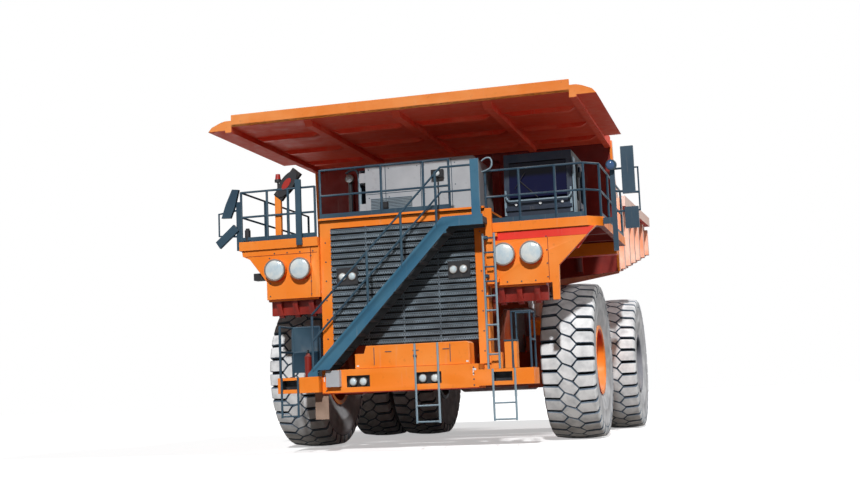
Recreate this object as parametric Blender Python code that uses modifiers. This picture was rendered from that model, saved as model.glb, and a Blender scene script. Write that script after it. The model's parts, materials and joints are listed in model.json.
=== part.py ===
"""Mining dump truck of the 220 t class, in metres.

The truck is laid out on its own centre plane (X = 0, +X is the driver's left) with the front axle
at Y = 0, facing -Y, and the ground at Z = 0. One empty, truck_datum, then carries everything to
the middle of its footprint. Each moving body hangs on an empty that lies on its joint's axis.
"""
import math

import bmesh
import bpy
from mathutils import Matrix, Vector

GAP = 0.0003               # between pieces that touch
OVERRUN = 0.05             # cutters run this far past what they cut
INSET = 0.01               # how deep a welded piece sinks into what carries it
ROOM = 0.008               # running room between pieces that move past each other

# Wheels and axles
TYRE_R = 1.785
TREAD_HALF = 0.555
SECTION_HALF = 0.59
BEAD_HALF = 0.48
CROWN_HALF = 0.27
LUG_DEPTH = 0.10
LUG_PITCHES = 20
RIM_STEPS = LUG_PITCHES
LUG_SHARE = 0.60           # of a pitch
CROWN_AHEAD_SHARE = 0.5    # of a pitch that the crown's lugs run ahead of the shoulders'
GROOVE_SHARE = CROWN_AHEAD_SHARE + LUG_SHARE / 2   # where the groove is deepest
PITCH = 2 * math.pi / LUG_PITCHES
# the tyre stands on the flat of a lug, so the axles lie a little lower than its radius
AXLE_Z = TYRE_R * math.cos(PITCH * LUG_SHARE / 2)
FRONT_WHEEL_X = 3.194
REAR_OUTER_X = 3.46
REAR_INNER_X = 2.13
WHEELBASE = 6.04
KINGPIN_X = 2.35
FLANGE_R = 0.79
FLANGE_T = 0.03
FLANGE_H = 0.066           # over the bead's seat
BEAD_SEAT_R = FLANGE_R - FLANGE_H
BEAD_ROOM = 0.02           # between the tyre's bead and the flange
RIM_WALL = 0.034
RIM_FACE_R = 0.30          # hub's back face
RIM_FACE_IN = 0.15         # how far inboard of the wheel's middle it lies
RIM_RING_SHARE = 0.87      # of the rim's inner radius
RIM_DISH_SHARE = 0.725
SPINDLE_ROOM = 0.13        # between the spindle and the rim
SPINDLE_R = BEAD_SEAT_R - RIM_WALL - SPINDLE_ROOM
DRUM_STEP = 0.06
AXLE_DRUM_R = SPINDLE_R + DRUM_STEP
SPINDLE_FACE_X = 2.20
REAR_STRUT_BACK = 0.81     # of the axle
REAR_STRUT_Y = WHEELBASE + REAR_STRUT_BACK
REAR_STRUT_R = 0.15
STRUT_BOSS_Z = 2.74

# Main frame
RAIL_IN = 0.82
RAIL_OUT = 1.14
RAIL_FRONT_Y = -3.20
RAIL_BOTTOM_Z = 1.45
RAIL_TOP_Z = 2.40
RAIL_HIGH_BOTTOM_Z = 2.64
RAIL_HIGH_TOP_Z = 3.22
KICK_START_Y = 3.95
KICK_END_Y = 4.75
STEP_START_Y = 1.55
STEP_END_Y = 2.05
HINGE_Y = 7.60
HINGE_Z = 2.95
HINGE_PIN_R = 0.12
HINGE_TUBE_R = 0.20
PIVOT_TUBE_Y = -1.35
PIVOT_TUBE_UP = 0.023      # over the axle
PIVOT_TUBE_Z = AXLE_Z + PIVOT_TUBE_UP
PIVOT_TUBE_R = 0.20
PIVOT_TUBE_X = 1.24
MID_TUBE_Y = 2.90
MID_TUBE_Z = 1.95
MID_TUBE_R = 0.25
COLLAR_HALF_Y = 0.24
COLLAR_X = 2.12
COLLAR_TOP_Z = 3.45
COLLAR_BEAM_Z = 3.20
COLLAR_SHELF_Z = 3.05
STRUT_X = 1.80
STRUT_R = 0.17

# Trailing arms and knuckles
ARM_IN_X = 1.26
ARM_OUT_X = 1.52
ARM_TIP_X = 2.14
ARM_DOWN = 0.157           # under the axle
ARM_LOW_Z = AXLE_Z - ARM_DOWN
ARM_H = 0.40
ARM_HIGH_Z = ARM_LOW_Z + ARM_H
ARM_TAIL_Y = 0.24
LUG_T = 0.14
KINGPIN_R = 0.19
KINGPIN_DOWN = 0.437       # under the axle
KINGPIN_UP = 0.483
KINGPIN_LOW_Z = AXLE_Z - KINGPIN_DOWN
KINGPIN_HIGH_Z = AXLE_Z + KINGPIN_UP
STUB_R = 0.24
STEER_ARM_Y = 0.56
STEER_ARM_IN = 0.28
STEER_ARM_DOWN = 0.357     # under the axle
STEER_ARM_LOW_Z = AXLE_Z - STEER_ARM_DOWN
STEER_ARM_T = 0.10
STEER_ARM_R = 0.10
TIE_ROD_R = 0.06

# Bumper, side platforms, box over the bumper
BUMPER_FRONT_Y = -3.80
BUMPER_HALF_X = 1.70
BUMPER_LOW_Z = 1.234
BUMPER_TOP_Z = 1.735
PLATFORM_RIGHT_W = 0.91
PLATFORM_LEFT_W = 1.15
PLATFORM_RIGHT_X = -BUMPER_HALF_X - PLATFORM_RIGHT_W
PLATFORM_LEFT_X = BUMPER_HALF_X + PLATFORM_LEFT_W
PLATFORM_LOW_Z = 1.28
PLATFORM_TOP_Z = 1.61
PLATFORM_BACK_Y = -3.22
SHELF_BACK_Y = -2.86
LAMP_RECESS_DEPTH = 0.10
BOX_LEFT_X = 1.52
BOX_RIGHT_X = -0.97
BOX_STEP_X = -0.72
BOX_STEP_Z = 2.05
BOX_TOP_Z = 2.21
BOX_FRONT_Y = -3.76
BOX_BACK_Y = -3.34

# Radiator frame, grille, engine
POST_IN_X = 1.61
POST_OUT_X = 1.86
POST_FRONT_Y = -3.26
POST_BACK_Y = -2.92
SILL_TOP_Z = 2.62
BEAM_LOW_Z = 4.824
BEAM_TOP_Z = 5.00
GRILLE_LOW_Z = 2.24
GRILLE_FRONT_Y = -3.24
GRILLE_SLATS = 19
SLAT_OUT = 0.05
ENGINE_HALF_X = 0.74
ENGINE_FRONT_Y = -2.70
ENGINE_BACK_Y = 1.10
ENGINE_TOP_Z = 3.12

# Decks and what carries them
DECK_FRONT_Y = -3.40
DECK_BACK_Y = 0.85
DECK_LOW_Z = 4.46
DECK_TOP_Z = 4.66
DECK_LEFT_X = 4.34
DECK_RIGHT_X = -3.72
DECK_CHAMFER = 0.29
DECK_IN_X = 1.87
DECK_PLATE_T = 0.04
DECK_BEAM_T = 0.12
CENTRE_DECK_TOP_Z = 5.05
CENTRE_DECK_LOW_Z = 4.87
CROSS_BEAM_Y = 0.0
CROSS_BEAM_HALF = 0.16
CROSS_BEAM_LOW_Z = 4.18
COLUMN_X = 1.30
COLUMN_HALF = 0.15
TOE_H = 0.10
TOE_T = 0.02

# Lamp brackets
FASCIA_FRONT_Y = -3.35
FASCIA_BACK_Y = -3.25
FASCIA_LOW_Z = 3.34
FASCIA_SIDE_X = 3.10
LEFT_TAB_X = 3.24
LEFT_TAB_END_X = 3.38
LEFT_TAB_LOW_Z = 2.98
GUSSET_LOW_Z = 3.00
GUSSET_FRONT_Y = -3.20
GUSSET_BACK_Y = -2.95
LAMP_XS = (2.267, 2.849)
LAMP_Z = 3.979
LAMP_R = 0.243
LAMP_OUT = 0.15

# Stairs at the front
STAIR_FRONT_Y = -4.04
STAIR_BACK_Y = -3.44
STRINGER_T = 0.05
STAIR_FOOT_OUT = 0.23      # outside the bumper
STAIR_FOOT_X = -BUMPER_HALF_X - STAIR_FOOT_OUT
STAIR_TOP_X = 1.12
STAIR_TOP_Z = 4.78
STRINGER_DEPTH_Z = 0.36
LANDING_END_X = 1.98
LANDING_T = 0.21
TREADS = 10
TREAD_T = 0.05
TREAD_GO = 0.26

# Railings: tube radius, heights over the deck
RAIL_TUBE_R = 0.024
POST_TUBE_R = 0.028
TOP_RAIL_H = 1.12
MID_RAIL_H = 0.56
TUBE_SIDES = 6

# Cab
CAB_IN_X = 1.93
CAB_OUT_X = 3.48
CAB_FRONT_Y = -1.45
CAB_BACK_Y = 0.50
CAB_TOP_Z = 6.48
CAB_WALL = 0.06
CAB_BROW = 0.10
WINDOW_LOW_Z = 5.42
WINDOW_HIGH_Z = 6.28
WINDOW_EDGE = 0.12
DOOR_FRONT_Y = -0.36
DOOR_BACK_Y = 0.32
DOOR_LOW_Z = 4.76
DOOR_HIGH_Z = 6.34
DOOR_T = 0.05
HINGE_KNUCKLE_R = 0.03
HINGE_KNUCKLE_H = 0.12
GLASS_T = 0.012

# Control cabinet
CABINET_RIGHT_X = -1.19
CABINET_LEFT_X = 1.49
CABINET_FRONT_Y = -2.00
CABINET_BACK_Y = -0.60
CABINET_TOP_Z = 6.43
CABINET_CHAMFER = 0.13

# Tanks
TANK_IN_X = 1.62
TANK_OUT_X = 3.30
TANK_FRONT_Y = 2.48
TANK_ROOM = 0.205          # before the rear tyres
TANK_BACK_Y = WHEELBASE - TYRE_R - TANK_ROOM
TANK_LOW_Z = 1.35
TANK_TOP_Z = 3.00
TANK_ROUND = 0.22
OIL_TANK_OUT_X = 2.75

# Dump body
CANOPY_FRONT_Y = -3.476
CANOPY_BACK_Y = 2.40
LIP_HALF_X = 3.814
LIP_T = 0.05
LIP_TOP_Z = 7.547
CANOPY_LOW_Z = 7.27
CANOPY_T = 0.06
SIDE_BEAM_X = 3.97
SIDE_BEAM_LOW_Z = 7.15
WING_X = 4.385
WING_LOW_Z = 7.20
WING_BACK_Y = 2.26
RIB_DEPTH = 0.12
FRONT_WALL_TOP_Y = 2.26
FRONT_WALL_FOOT_Y = 2.46
FRONT_WALL_FOOT_Z = 3.754
FRONT_WALL_T = 0.08
FLOOR_FRONT_Y = 2.48
FLOOR_FRONT_Z = 4.014
TAIL_Y = 9.90
TAIL_LOW_Z = 5.12
FLOOR_T = 0.09
FLOOR_DISH = 0.26
BED_HALF_X = 3.94
SIDE_T = 0.06
TOP_RAIL_OUT_X = 4.17
TOP_RAIL_H_Z = 0.26
SIDE_FRONT_TOP_Z = 6.00
SIDE_STEP_Y = 3.00          # where the top rail ends and the side rises to the canopy
SIDE_RISE = 0.45
SIDE_TAIL_TOP_Z = 6.30
SIDE_RIB_OUT = 0.11
SIDE_RIB_HALF = 0.11
STRINGER_OUT_X = 1.16
STRINGER_LOW_Z = 3.235
STRINGER_FRONT_Y = 2.62
EAR_IN_X = 1.146
EAR_OUT_X = 1.30
EAR_R = 0.26
DUMP_ANGLE = math.radians(45)

# Hoists
HOIST_X = 1.34
HOIST_FOOT_Y = 3.60
HOIST_FOOT_Z = 1.60
HOIST_EYE_Y = 4.20
HOIST_EYE_Z = 3.72
HOIST_BARREL_R = 0.160
HOIST_STAGE_R = 0.128
HOIST_ROD_R = 0.095
HOIST_EYE_R = 0.135
HOIST_NECK_R = 0.11
HOIST_BOSS_R = 0.12
HOIST_EYE_HALF = 0.115
BARREL_LENGTH = 1.75
BARREL_FOOT = 0.19         # from the foot's pin
BARREL_FLOOR = 0.24
STAGE_END = 1.90

# Ladders
LADDER_R = 0.024
LADDER_WIDE = 0.46

# Lamps on the front
LENS_R = 0.20              # the recess in each headlamp
LENS_DEEP = 0.035
PLATE_LAMP_R = 0.09
PLATE_LAMP_Z = 3.745
PLATE_LAMP_OUT = 0.05
LAMP_PLATE_T = 0.03
# low x, high x, low z, high z of the two lamp plates on the grille, and their lamps' places
LAMP_PLATES = ((-1.48, -1.00, 3.57, 3.94), (1.02, 1.50, 3.57, 3.92))
PLATE_LAMP_XS = (-1.34, -1.12, 1.14, 1.36)

# On the bumper's front: a grey box, and a flap under the stairs' foot
FRONT_BOX_LEFT_X = -1.27
FRONT_BOX_RIGHT_X = -1.57
FRONT_BOX_OUT = 0.13
FRONT_BOX_LOW_Z = 1.38
FLAP_LEFT_X = -1.60
FLAP_RIGHT_X = -1.90
FLAP_FRONT_Y = -3.72
FLAP_T = 0.03
FLAP_LOW_Z = 0.71

# Rails on the side platforms
RAIL_EDGE = 0.05           # inside the platform's edges
GUARD_LEFT_X = -1.93
GUARD_TOP_Z = 2.70
GUARD_MID_Z = 2.16
GUARD_PANEL_LOW_Z = 1.72
GUARD_PANEL_T = 0.014
HOOP_IN_X = 2.42
HOOP_TOP_Z = 2.76

# Posts on the right deck's front edge
DECK_POST_RIGHT_X = -2.88
DECK_POST_LEFT_X = -2.74
DECK_POST_FRONT_Y = -3.31
DECK_POST_BACK_Y = -3.22
DECK_POST_TOP_Z = 5.66
# the tilted box on that post, (x, z)
TILTED_BOX = ((-2.90, 5.68), (-2.72, 5.53), (-2.25, 6.10), (-2.43, 6.25))
EDGE_POST_RIGHT_X = -2.34
EDGE_POST_LEFT_X = -2.21
EDGE_POST_FRONT_Y = -3.46
EDGE_POST_LOW_Z = 4.50
EDGE_POST_TOP_Z = 5.95

# Mirrors
MIRROR_REACH = 5.13
# the two right mirrors' outlines, (x, z)
RIGHT_MIRROR_HIGH = ((-4.19, 5.25), (-3.97, 5.24), (-3.86, 5.50), (-3.76, 5.87), (-3.92, 5.89), (-4.08, 5.56))
RIGHT_MIRROR_LOW = ((-4.34, 4.72), (-4.24, 4.57), (-3.78, 4.95), (-3.90, 5.09))
MIRROR_OUT = 0.08

# What the datum needs: the footprint runs from the right wing to the left mirror's bracket,
# and from the stairs to the tail
TAIL_BULGE = 0.05
CENTRE_PLANE_X = -(MIRROR_REACH - WING_X) / 2
FRONT_AXLE_Y = -(STAIR_FRONT_Y + TAIL_Y + TAIL_BULGE) / 2

FINISHES = {   # name: colour, roughness, metallic
    'orange_paint': ((0.93, 0.27, 0.06, 1), 0.45, 0.0),
    'slate_paint': ((0.06, 0.12, 0.17, 1), 0.5, 0.0),
    'grey_paint': ((0.42, 0.45, 0.46, 1), 0.5, 0.0),
    'dark_mesh': ((0.05, 0.06, 0.07, 1), 0.6, 0.3),
    'dusty_white': ((0.78, 0.72, 0.70, 1), 0.7, 0.0),
    'tyre_rubber': ((0.30, 0.30, 0.29, 1), 0.9, 0.0),
    'rim_grey': ((0.25, 0.25, 0.26, 1), 0.6, 0.2),
    'bare_steel': ((0.55, 0.56, 0.58, 1), 0.3, 0.9),
    'black_paint': ((0.03, 0.03, 0.035, 1), 0.6, 0.0),
    'cab_glass': ((0.03, 0.06, 0.14, 0.4), 0.05, 0.0),
    'seat_cloth': ((0.05, 0.05, 0.06, 1), 0.9, 0.0),
}


def clear_scene():
    for obj in list(bpy.data.objects):
        bpy.data.objects.remove(obj)


def new_collection(name):
    collection = bpy.data.collections.new(name)
    bpy.context.scene.collection.children.link(collection)
    return collection


clear_scene()
TRUCK = new_collection('mining_dump_truck')
CUTTERS = new_collection('cutters')


def new_empty(name, place, carrier=None):
    empty = bpy.data.objects.new(name, None)
    TRUCK.objects.link(empty)
    empty.location = place
    empty.parent = carrier
    return empty


DATUM = new_empty('truck_datum', (CENTRE_PLANE_X, FRONT_AXLE_Y, 0))


def new_material(name):
    colour, roughness, metallic = FINISHES[name]
    material = bpy.data.materials.new(name)
    material.use_nodes = True
    shader = material.node_tree.nodes['Principled BSDF']
    shader.inputs['Base Color'].default_value = colour
    shader.inputs['Roughness'].default_value = roughness
    shader.inputs['Metallic'].default_value = metallic
    return material


MATERIALS = {name: new_material(name) for name in FINISHES}


# Shapes. Each returns a mesh object in the truck's own coordinates, in the cutters' collection
# until it is used up or kept.

def from_bmesh(bm):
    mesh = bpy.data.meshes.new('shape')
    bm.to_mesh(mesh)
    bm.free()
    obj = bpy.data.objects.new('shape', mesh)
    CUTTERS.objects.link(obj)
    obj.hide_render = True
    obj.display_type = 'WIRE'
    return obj


def settle(obj):
    """The object with its modifiers, or its curve, turned into a plain mesh in place."""
    bpy.context.view_layer.update()
    evaluated = obj.evaluated_get(bpy.context.evaluated_depsgraph_get())
    mesh = bpy.data.meshes.new_from_object(evaluated)
    mesh.transform(obj.matrix_world)
    bm = bmesh.new()
    bm.from_mesh(mesh)
    bmesh.ops.remove_doubles(bm, verts=bm.verts, dist=GAP / 10)
    bpy.data.objects.remove(obj)
    bpy.data.meshes.remove(mesh)
    return from_bmesh(bm)


def box(low, high):
    low = Vector(low)
    size = Vector(high) - low
    bm = bmesh.new()
    matrix = Matrix.Translation(low + size / 2) @ Matrix.Diagonal(size).to_4x4()
    bmesh.ops.create_cube(bm, size=1, matrix=matrix)
    return from_bmesh(bm)


def rod(start, end, radius, sides=TUBE_SIDES, end_radius=None):
    """A cylinder, or a cone, between two points."""
    start = Vector(start)
    run = Vector(end) - start
    turn = Vector((0, 0, 1)).rotation_difference(run).to_matrix().to_4x4()
    bm = bmesh.new()
    bmesh.ops.create_cone(
        bm, cap_ends=True, segments=sides, radius1=radius,
        radius2=radius if end_radius is None else end_radius, depth=run.length,
        matrix=Matrix.Translation(start + run / 2) @ turn)
    return from_bmesh(bm)


PLANES = {   # what a flat outline's own x, y and thickness run along
    'X': Matrix(((0, 0, 1, 0), (1, 0, 0, 0), (0, 1, 0, 0), (0, 0, 0, 1))),
    'Y': Matrix(((1, 0, 0, 0), (0, 0, -1, 0), (0, 1, 0, 0), (0, 0, 0, 1))),
    'Z': Matrix.Identity(4),
}


def slab(across, outline, start, end):
    """A flat outline with a thickness: (y, z) across X, (x, z) across Y, (x, y) across Z."""
    curve = bpy.data.curves.new('outline', 'CURVE')
    curve.dimensions = '2D'
    curve.fill_mode = 'BOTH'
    curve.extrude = abs(end - start) / 2
    spline = curve.splines.new('POLY')
    spline.points.add(len(outline) - 1)
    for point, (x, y) in zip(spline.points, outline):
        point.co = (x, y, 0, 1)
    spline.use_cyclic_u = True
    obj = bpy.data.objects.new('outline', curve)
    CUTTERS.objects.link(obj)
    middle = Vector((0, 0, 0))
    middle['XYZ'.index(across)] = (start + end) / 2
    obj.matrix_world = Matrix.Translation(middle) @ PLANES[across]
    return settle(obj)


def pipe(points, radius):
    """A bent tube or handle through the points."""
    curve = bpy.data.curves.new('pipe', 'CURVE')
    curve.dimensions = '3D'
    curve.bevel_depth = radius
    curve.bevel_resolution = 2
    curve.use_fill_caps = True
    spline = curve.splines.new('POLY')
    spline.points.add(len(points) - 1)
    for point, place in zip(spline.points, points):
        point.co = (*place, 1)
    obj = bpy.data.objects.new('pipe', curve)
    CUTTERS.objects.link(obj)
    return triangulated(settle(obj))


def triangulated(obj):
    """The faces round a bend aren't flat, and a join needs flat ones."""
    bm = bmesh.new()
    bm.from_mesh(obj.data)
    bmesh.ops.triangulate(bm, faces=bm.faces)
    bm.to_mesh(obj.data)
    bm.free()
    return obj


def turned(profile, centre, steps, ring=False):
    """A profile of (outboard, radius) points turned about the X axis through the centre."""
    bm = bmesh.new()
    verts = [bm.verts.new((radius, 0, along)) for along, radius in profile]
    for first, second in zip(verts, verts[1:] + (verts[:1] if ring else [])):
        if first is not second:
            bm.edges.new((first, second))
    obj = from_bmesh(bm)
    screw = obj.modifiers.new('turn', 'SCREW')
    screw.steps = steps
    screw.render_steps = steps
    screw.use_merge_vertices = True
    screw.merge_threshold = GAP / 10
    obj = settle(obj)
    bm = bmesh.new()
    bm.from_mesh(obj.data)
    bmesh.ops.recalc_face_normals(bm, faces=bm.faces)
    bm.to_mesh(obj.data)
    bm.free()
    obj.data.transform(Matrix.Translation(centre) @ Matrix.Rotation(math.radians(90), 4, 'Y'))
    return obj


def boolean(kind, base, tools):
    for tool in tools:
        modifier = base.modifiers.new(kind, 'BOOLEAN')
        modifier.operation = kind
        modifier.object = tool
    result = settle(base)
    for tool in tools:
        bpy.data.objects.remove(tool)
    return result


def weld(base, *others):
    return boolean('UNION', base, others)


def cut(base, *tools):
    return boolean('DIFFERENCE', base, tools)


def mirrored(obj):
    """A copy on the other side of the centre plane."""
    bm = bmesh.new()
    bm.from_mesh(obj.data)
    bm.transform(Matrix.Diagonal((-1, 1, 1, 1)))
    bmesh.ops.reverse_faces(bm, faces=bm.faces)
    return from_bmesh(bm)


def keep(obj, name, finish, carrier=None):
    """Name a finished piece, give it its finish and hang it on its body's empty."""
    obj.name = name
    obj.data.name = name
    obj.data.materials.clear()
    obj.data.materials.append(MATERIALS[finish])
    CUTTERS.objects.unlink(obj)
    TRUCK.objects.link(obj)
    obj.hide_render = False
    obj.display_type = 'TEXTURED'
    obj.parent = carrier or DATUM
    if carrier:
        obj.matrix_parent_inverse = Matrix.Translation(-place_on_truck(carrier))
    obj.data.set_sharp_from_angle(angle=math.radians(35))
    return obj


def place_on_truck(empty):
    place = Vector((0, 0, 0))
    while empty and empty is not DATUM:
        place += empty.location
        empty = empty.parent
    return place


def circle(centre, radius, start, end, count):
    """Points on an arc, angles in degrees, both ends included."""
    angles = [math.radians(start + (end - start) * i / (count - 1)) for i in range(count)]
    return [(centre[0] + radius * math.cos(a), centre[1] + radius * math.sin(a)) for a in angles]


def lug_tyre():
    """A rock tyre: its lugs are the full profile, with a groove cut between each two.

    Each pitch has three stations round the tyre. The crown runs half a pitch ahead of the
    shoulders, so the grooves are chevrons.
    """
    seat = BEAD_SEAT_R * math.cos(PITCH / 2) + GAP   # flat to flat, as the rim is turned
    wall_r = (BEAD_SEAT_R + TYRE_R) / 2
    # along the axle, radius, share of the lug depth in a groove, share of a pitch it runs ahead
    profile = [
        (-BEAD_HALF, 0, 0, 0), (-SECTION_HALF, wall_r, 0, 0),
        (-TREAD_HALF, TYRE_R - LUG_DEPTH / 2, 1, 0), (-CROWN_HALF, TYRE_R, 1, CROWN_AHEAD_SHARE),
        (CROWN_HALF, TYRE_R, 1, CROWN_AHEAD_SHARE), (TREAD_HALF, TYRE_R - LUG_DEPTH / 2, 1, 0),
        (SECTION_HALF, wall_r, 0, 0), (BEAD_HALF, 0, 0, 0)]
    stations = [(0, 0), (LUG_SHARE, 0), (GROOVE_SHARE, 1)]   # share of a pitch, groove or not
    lowest = math.radians(-90) - PITCH * GROOVE_SHARE
    bm = bmesh.new()
    rings = []
    for pitch in range(LUG_PITCHES):
        for share, groove in stations:
            ring = []
            bore = seat / math.cos((share - GROOVE_SHARE + 0.5) * PITCH)
            for along, radius, deep, ahead in profile:
                angle = lowest + (pitch + share + ahead) * PITCH
                reach = (radius or bore) - groove * deep * LUG_DEPTH
                ring.append(bm.verts.new((along, reach * math.cos(angle), reach * math.sin(angle))))
            rings.append(ring)
    for ring, following in zip(rings, rings[1:] + rings[:1]):
        for j in range(len(profile)):
            k = (j + 1) % len(profile)
            bm.faces.new((ring[j], ring[k], following[k], following[j]))
    bmesh.ops.recalc_face_normals(bm, faces=bm.faces)
    return from_bmesh(bm)


def placed(obj, place):
    obj.data.transform(Matrix.Translation(place))
    return obj


# Bodies: the empties on the joints' axes

STEER = {side: new_empty('steer_' + name, (side * KINGPIN_X, 0, AXLE_Z), DATUM)
         for side, name in ((1, 'left'), (-1, 'right'))}
FRONT_WHEEL = {side: new_empty('front_wheel_' + name,
                               (side * (FRONT_WHEEL_X - KINGPIN_X), 0, 0), STEER[side])
               for side, name in ((1, 'left'), (-1, 'right'))}
REAR_WHEEL = {side: new_empty('rear_wheel_' + name, (side * REAR_OUTER_X, WHEELBASE, AXLE_Z), DATUM)
              for side, name in ((1, 'left'), (-1, 'right'))}
DUMP = new_empty('dump_hinge', (0, HINGE_Y, HINGE_Z), DATUM)
SIDES = ((1, 'left'), (-1, 'right'))


def make_tyres():
    tyre = lug_tyre()
    places = [('front_tyre', FRONT_WHEEL, FRONT_WHEEL_X, 0),
              ('rear_tyre_outer', REAR_WHEEL, REAR_OUTER_X, WHEELBASE),
              ('rear_tyre_inner', REAR_WHEEL, REAR_INNER_X, WHEELBASE)]
    for name, wheels, x, y in places:
        for side, side_name in SIDES:
            copy = bpy.data.objects.new('shape', tyre.data.copy())
            CUTTERS.objects.link(copy)
            placed(copy, (side * x, y, AXLE_Z))
            keep(copy, name + '_' + side_name, 'tyre_rubber', wheels[side])
    bpy.data.objects.remove(tyre)


def make_front_rims():
    seat = BEAD_SEAT_R
    inner = seat - RIM_WALL
    bead = BEAD_HALF + BEAD_ROOM
    flange = bead + FLANGE_T
    ring, dish = inner * RIM_RING_SHARE, inner * RIM_DISH_SHARE
    # (outboard, radius), round the section from the hub cap to the hub's back
    profile = [(0.34, 0), (0.34, 0.20), (0.28, 0.25), (0.20, 0.27), (0.17, dish), (0.23, ring),
               (0.30, inner), (flange, inner), (flange, FLANGE_R), (bead, FLANGE_R), (bead, seat),
               (-bead, seat), (-bead, FLANGE_R), (-flange, FLANGE_R), (-flange, inner),
               (0.20, inner), (0.08, dish), (0.04, RIM_FACE_R), (-RIM_FACE_IN, RIM_FACE_R),
               (-RIM_FACE_IN, 0)]
    for side, name in SIDES:
        rim = turned(profile, (0, 0, 0), RIM_STEPS)
        if side < 0:
            rim.data.transform(Matrix.Rotation(math.pi, 4, 'Z'))
        placed(rim, (side * FRONT_WHEEL_X, 0, AXLE_Z))
        keep(rim, 'front_rim_' + name, 'orange_paint', FRONT_WHEEL[side])


def make_rear_rims():
    seat = BEAD_SEAT_R
    inner = seat - RIM_WALL
    bead = BEAD_HALF + BEAD_ROOM
    flange = bead + FLANGE_T
    twin = REAR_INNER_X - REAR_OUTER_X
    face = SPINDLE_FACE_X + GAP - REAR_OUTER_X
    ring = inner * RIM_RING_SHARE
    # (outboard, radius) from the motor cover's middle round to the hub's back face
    profile = [(0.16, 0), (0.16, 0.34), (0.10, 0.40), (0.04, 0.42), (0.0, ring), (0.06, inner),
               (flange, inner), (flange, FLANGE_R), (bead, FLANGE_R), (bead, seat),
               (-bead, seat), (-bead, FLANGE_R), (-flange, FLANGE_R), (-flange, seat),
               (twin + flange, seat), (twin + flange, FLANGE_R), (twin + bead, FLANGE_R),
               (twin + bead, seat), (twin - bead, seat), (twin - bead, FLANGE_R),
               (twin - flange, FLANGE_R), (twin - flange, inner), (face + 0.30, inner),
               (face + 0.24, SPINDLE_R), (face, SPINDLE_R), (face, 0)]
    for side, name in SIDES:
        rim = turned(profile, (0, 0, 0), RIM_STEPS)
        if side < 0:
            rim.data.transform(Matrix.Rotation(math.pi, 4, 'Z'))
        placed(rim, (side * REAR_OUTER_X, WHEELBASE, AXLE_Z))
        keep(rim, 'rear_rim_' + name, 'rim_grey', REAR_WHEEL[side])


def make_rear_axle():
    drum = [(-SPINDLE_FACE_X, 0), (-SPINDLE_FACE_X, SPINDLE_R - ROOM * 2),
            (-RAIL_OUT, SPINDLE_R - ROOM * 2), (-RAIL_OUT + 0.1, AXLE_DRUM_R),
            (RAIL_OUT - 0.1, AXLE_DRUM_R), (RAIL_OUT, SPINDLE_R - ROOM * 2),
            (SPINDLE_FACE_X, SPINDLE_R - ROOM * 2), (SPINDLE_FACE_X, 0)]
    axle = turned(drum, (0, WHEELBASE, AXLE_Z), 24)
    tip = MID_TUBE_Y + MID_TUBE_R + GAP
    tongue = slab('Z', [(-0.62, WHEELBASE - 0.2), (-0.16, tip), (0.16, tip), (0.62, WHEELBASE - 0.2)],
                  AXLE_Z - 0.22, AXLE_Z + 0.22)
    parts = [tongue]
    for side, _ in SIDES:
        x = side * HOIST_X
        parts.append(box((min(x - 0.13, x + 0.13), WHEELBASE, AXLE_Z - 0.42),
                         (max(x - 0.13, x + 0.13), REAR_STRUT_Y + 0.17, AXLE_Z - 0.24)))
        parts.append(strut(x, REAR_STRUT_Y, AXLE_Z - 0.24 - INSET, STRUT_BOSS_Z - GAP, REAR_STRUT_R))
    keep(weld(axle, *parts), 'rear_axle', 'black_paint')


def strut(x, y, low, high, radius):
    """A suspension cylinder: its barrel above, its bright rod end below."""
    length = high - low
    profile = [(0, 0), (0, radius * 0.9), (-0.12, radius * 0.9), (-0.12, radius * 0.72),
               (-length * 0.42, radius * 0.72), (-length * 0.42, radius),
               (-length, radius), (-length, 0)]
    obj = turned(profile, (0, 0, 0), 20)
    obj.data.transform(Matrix.Rotation(math.radians(90), 4, 'Y'))
    return placed(obj, (x, y, low))


def make_suspension():
    for side, name in SIDES:
        low = ARM_HIGH_Z + GAP
        front = strut(side * STRUT_X, 0, low, COLLAR_SHELF_Z - GAP, STRUT_R)
        keep(front, 'front_strut_' + name, 'grey_paint')


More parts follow.
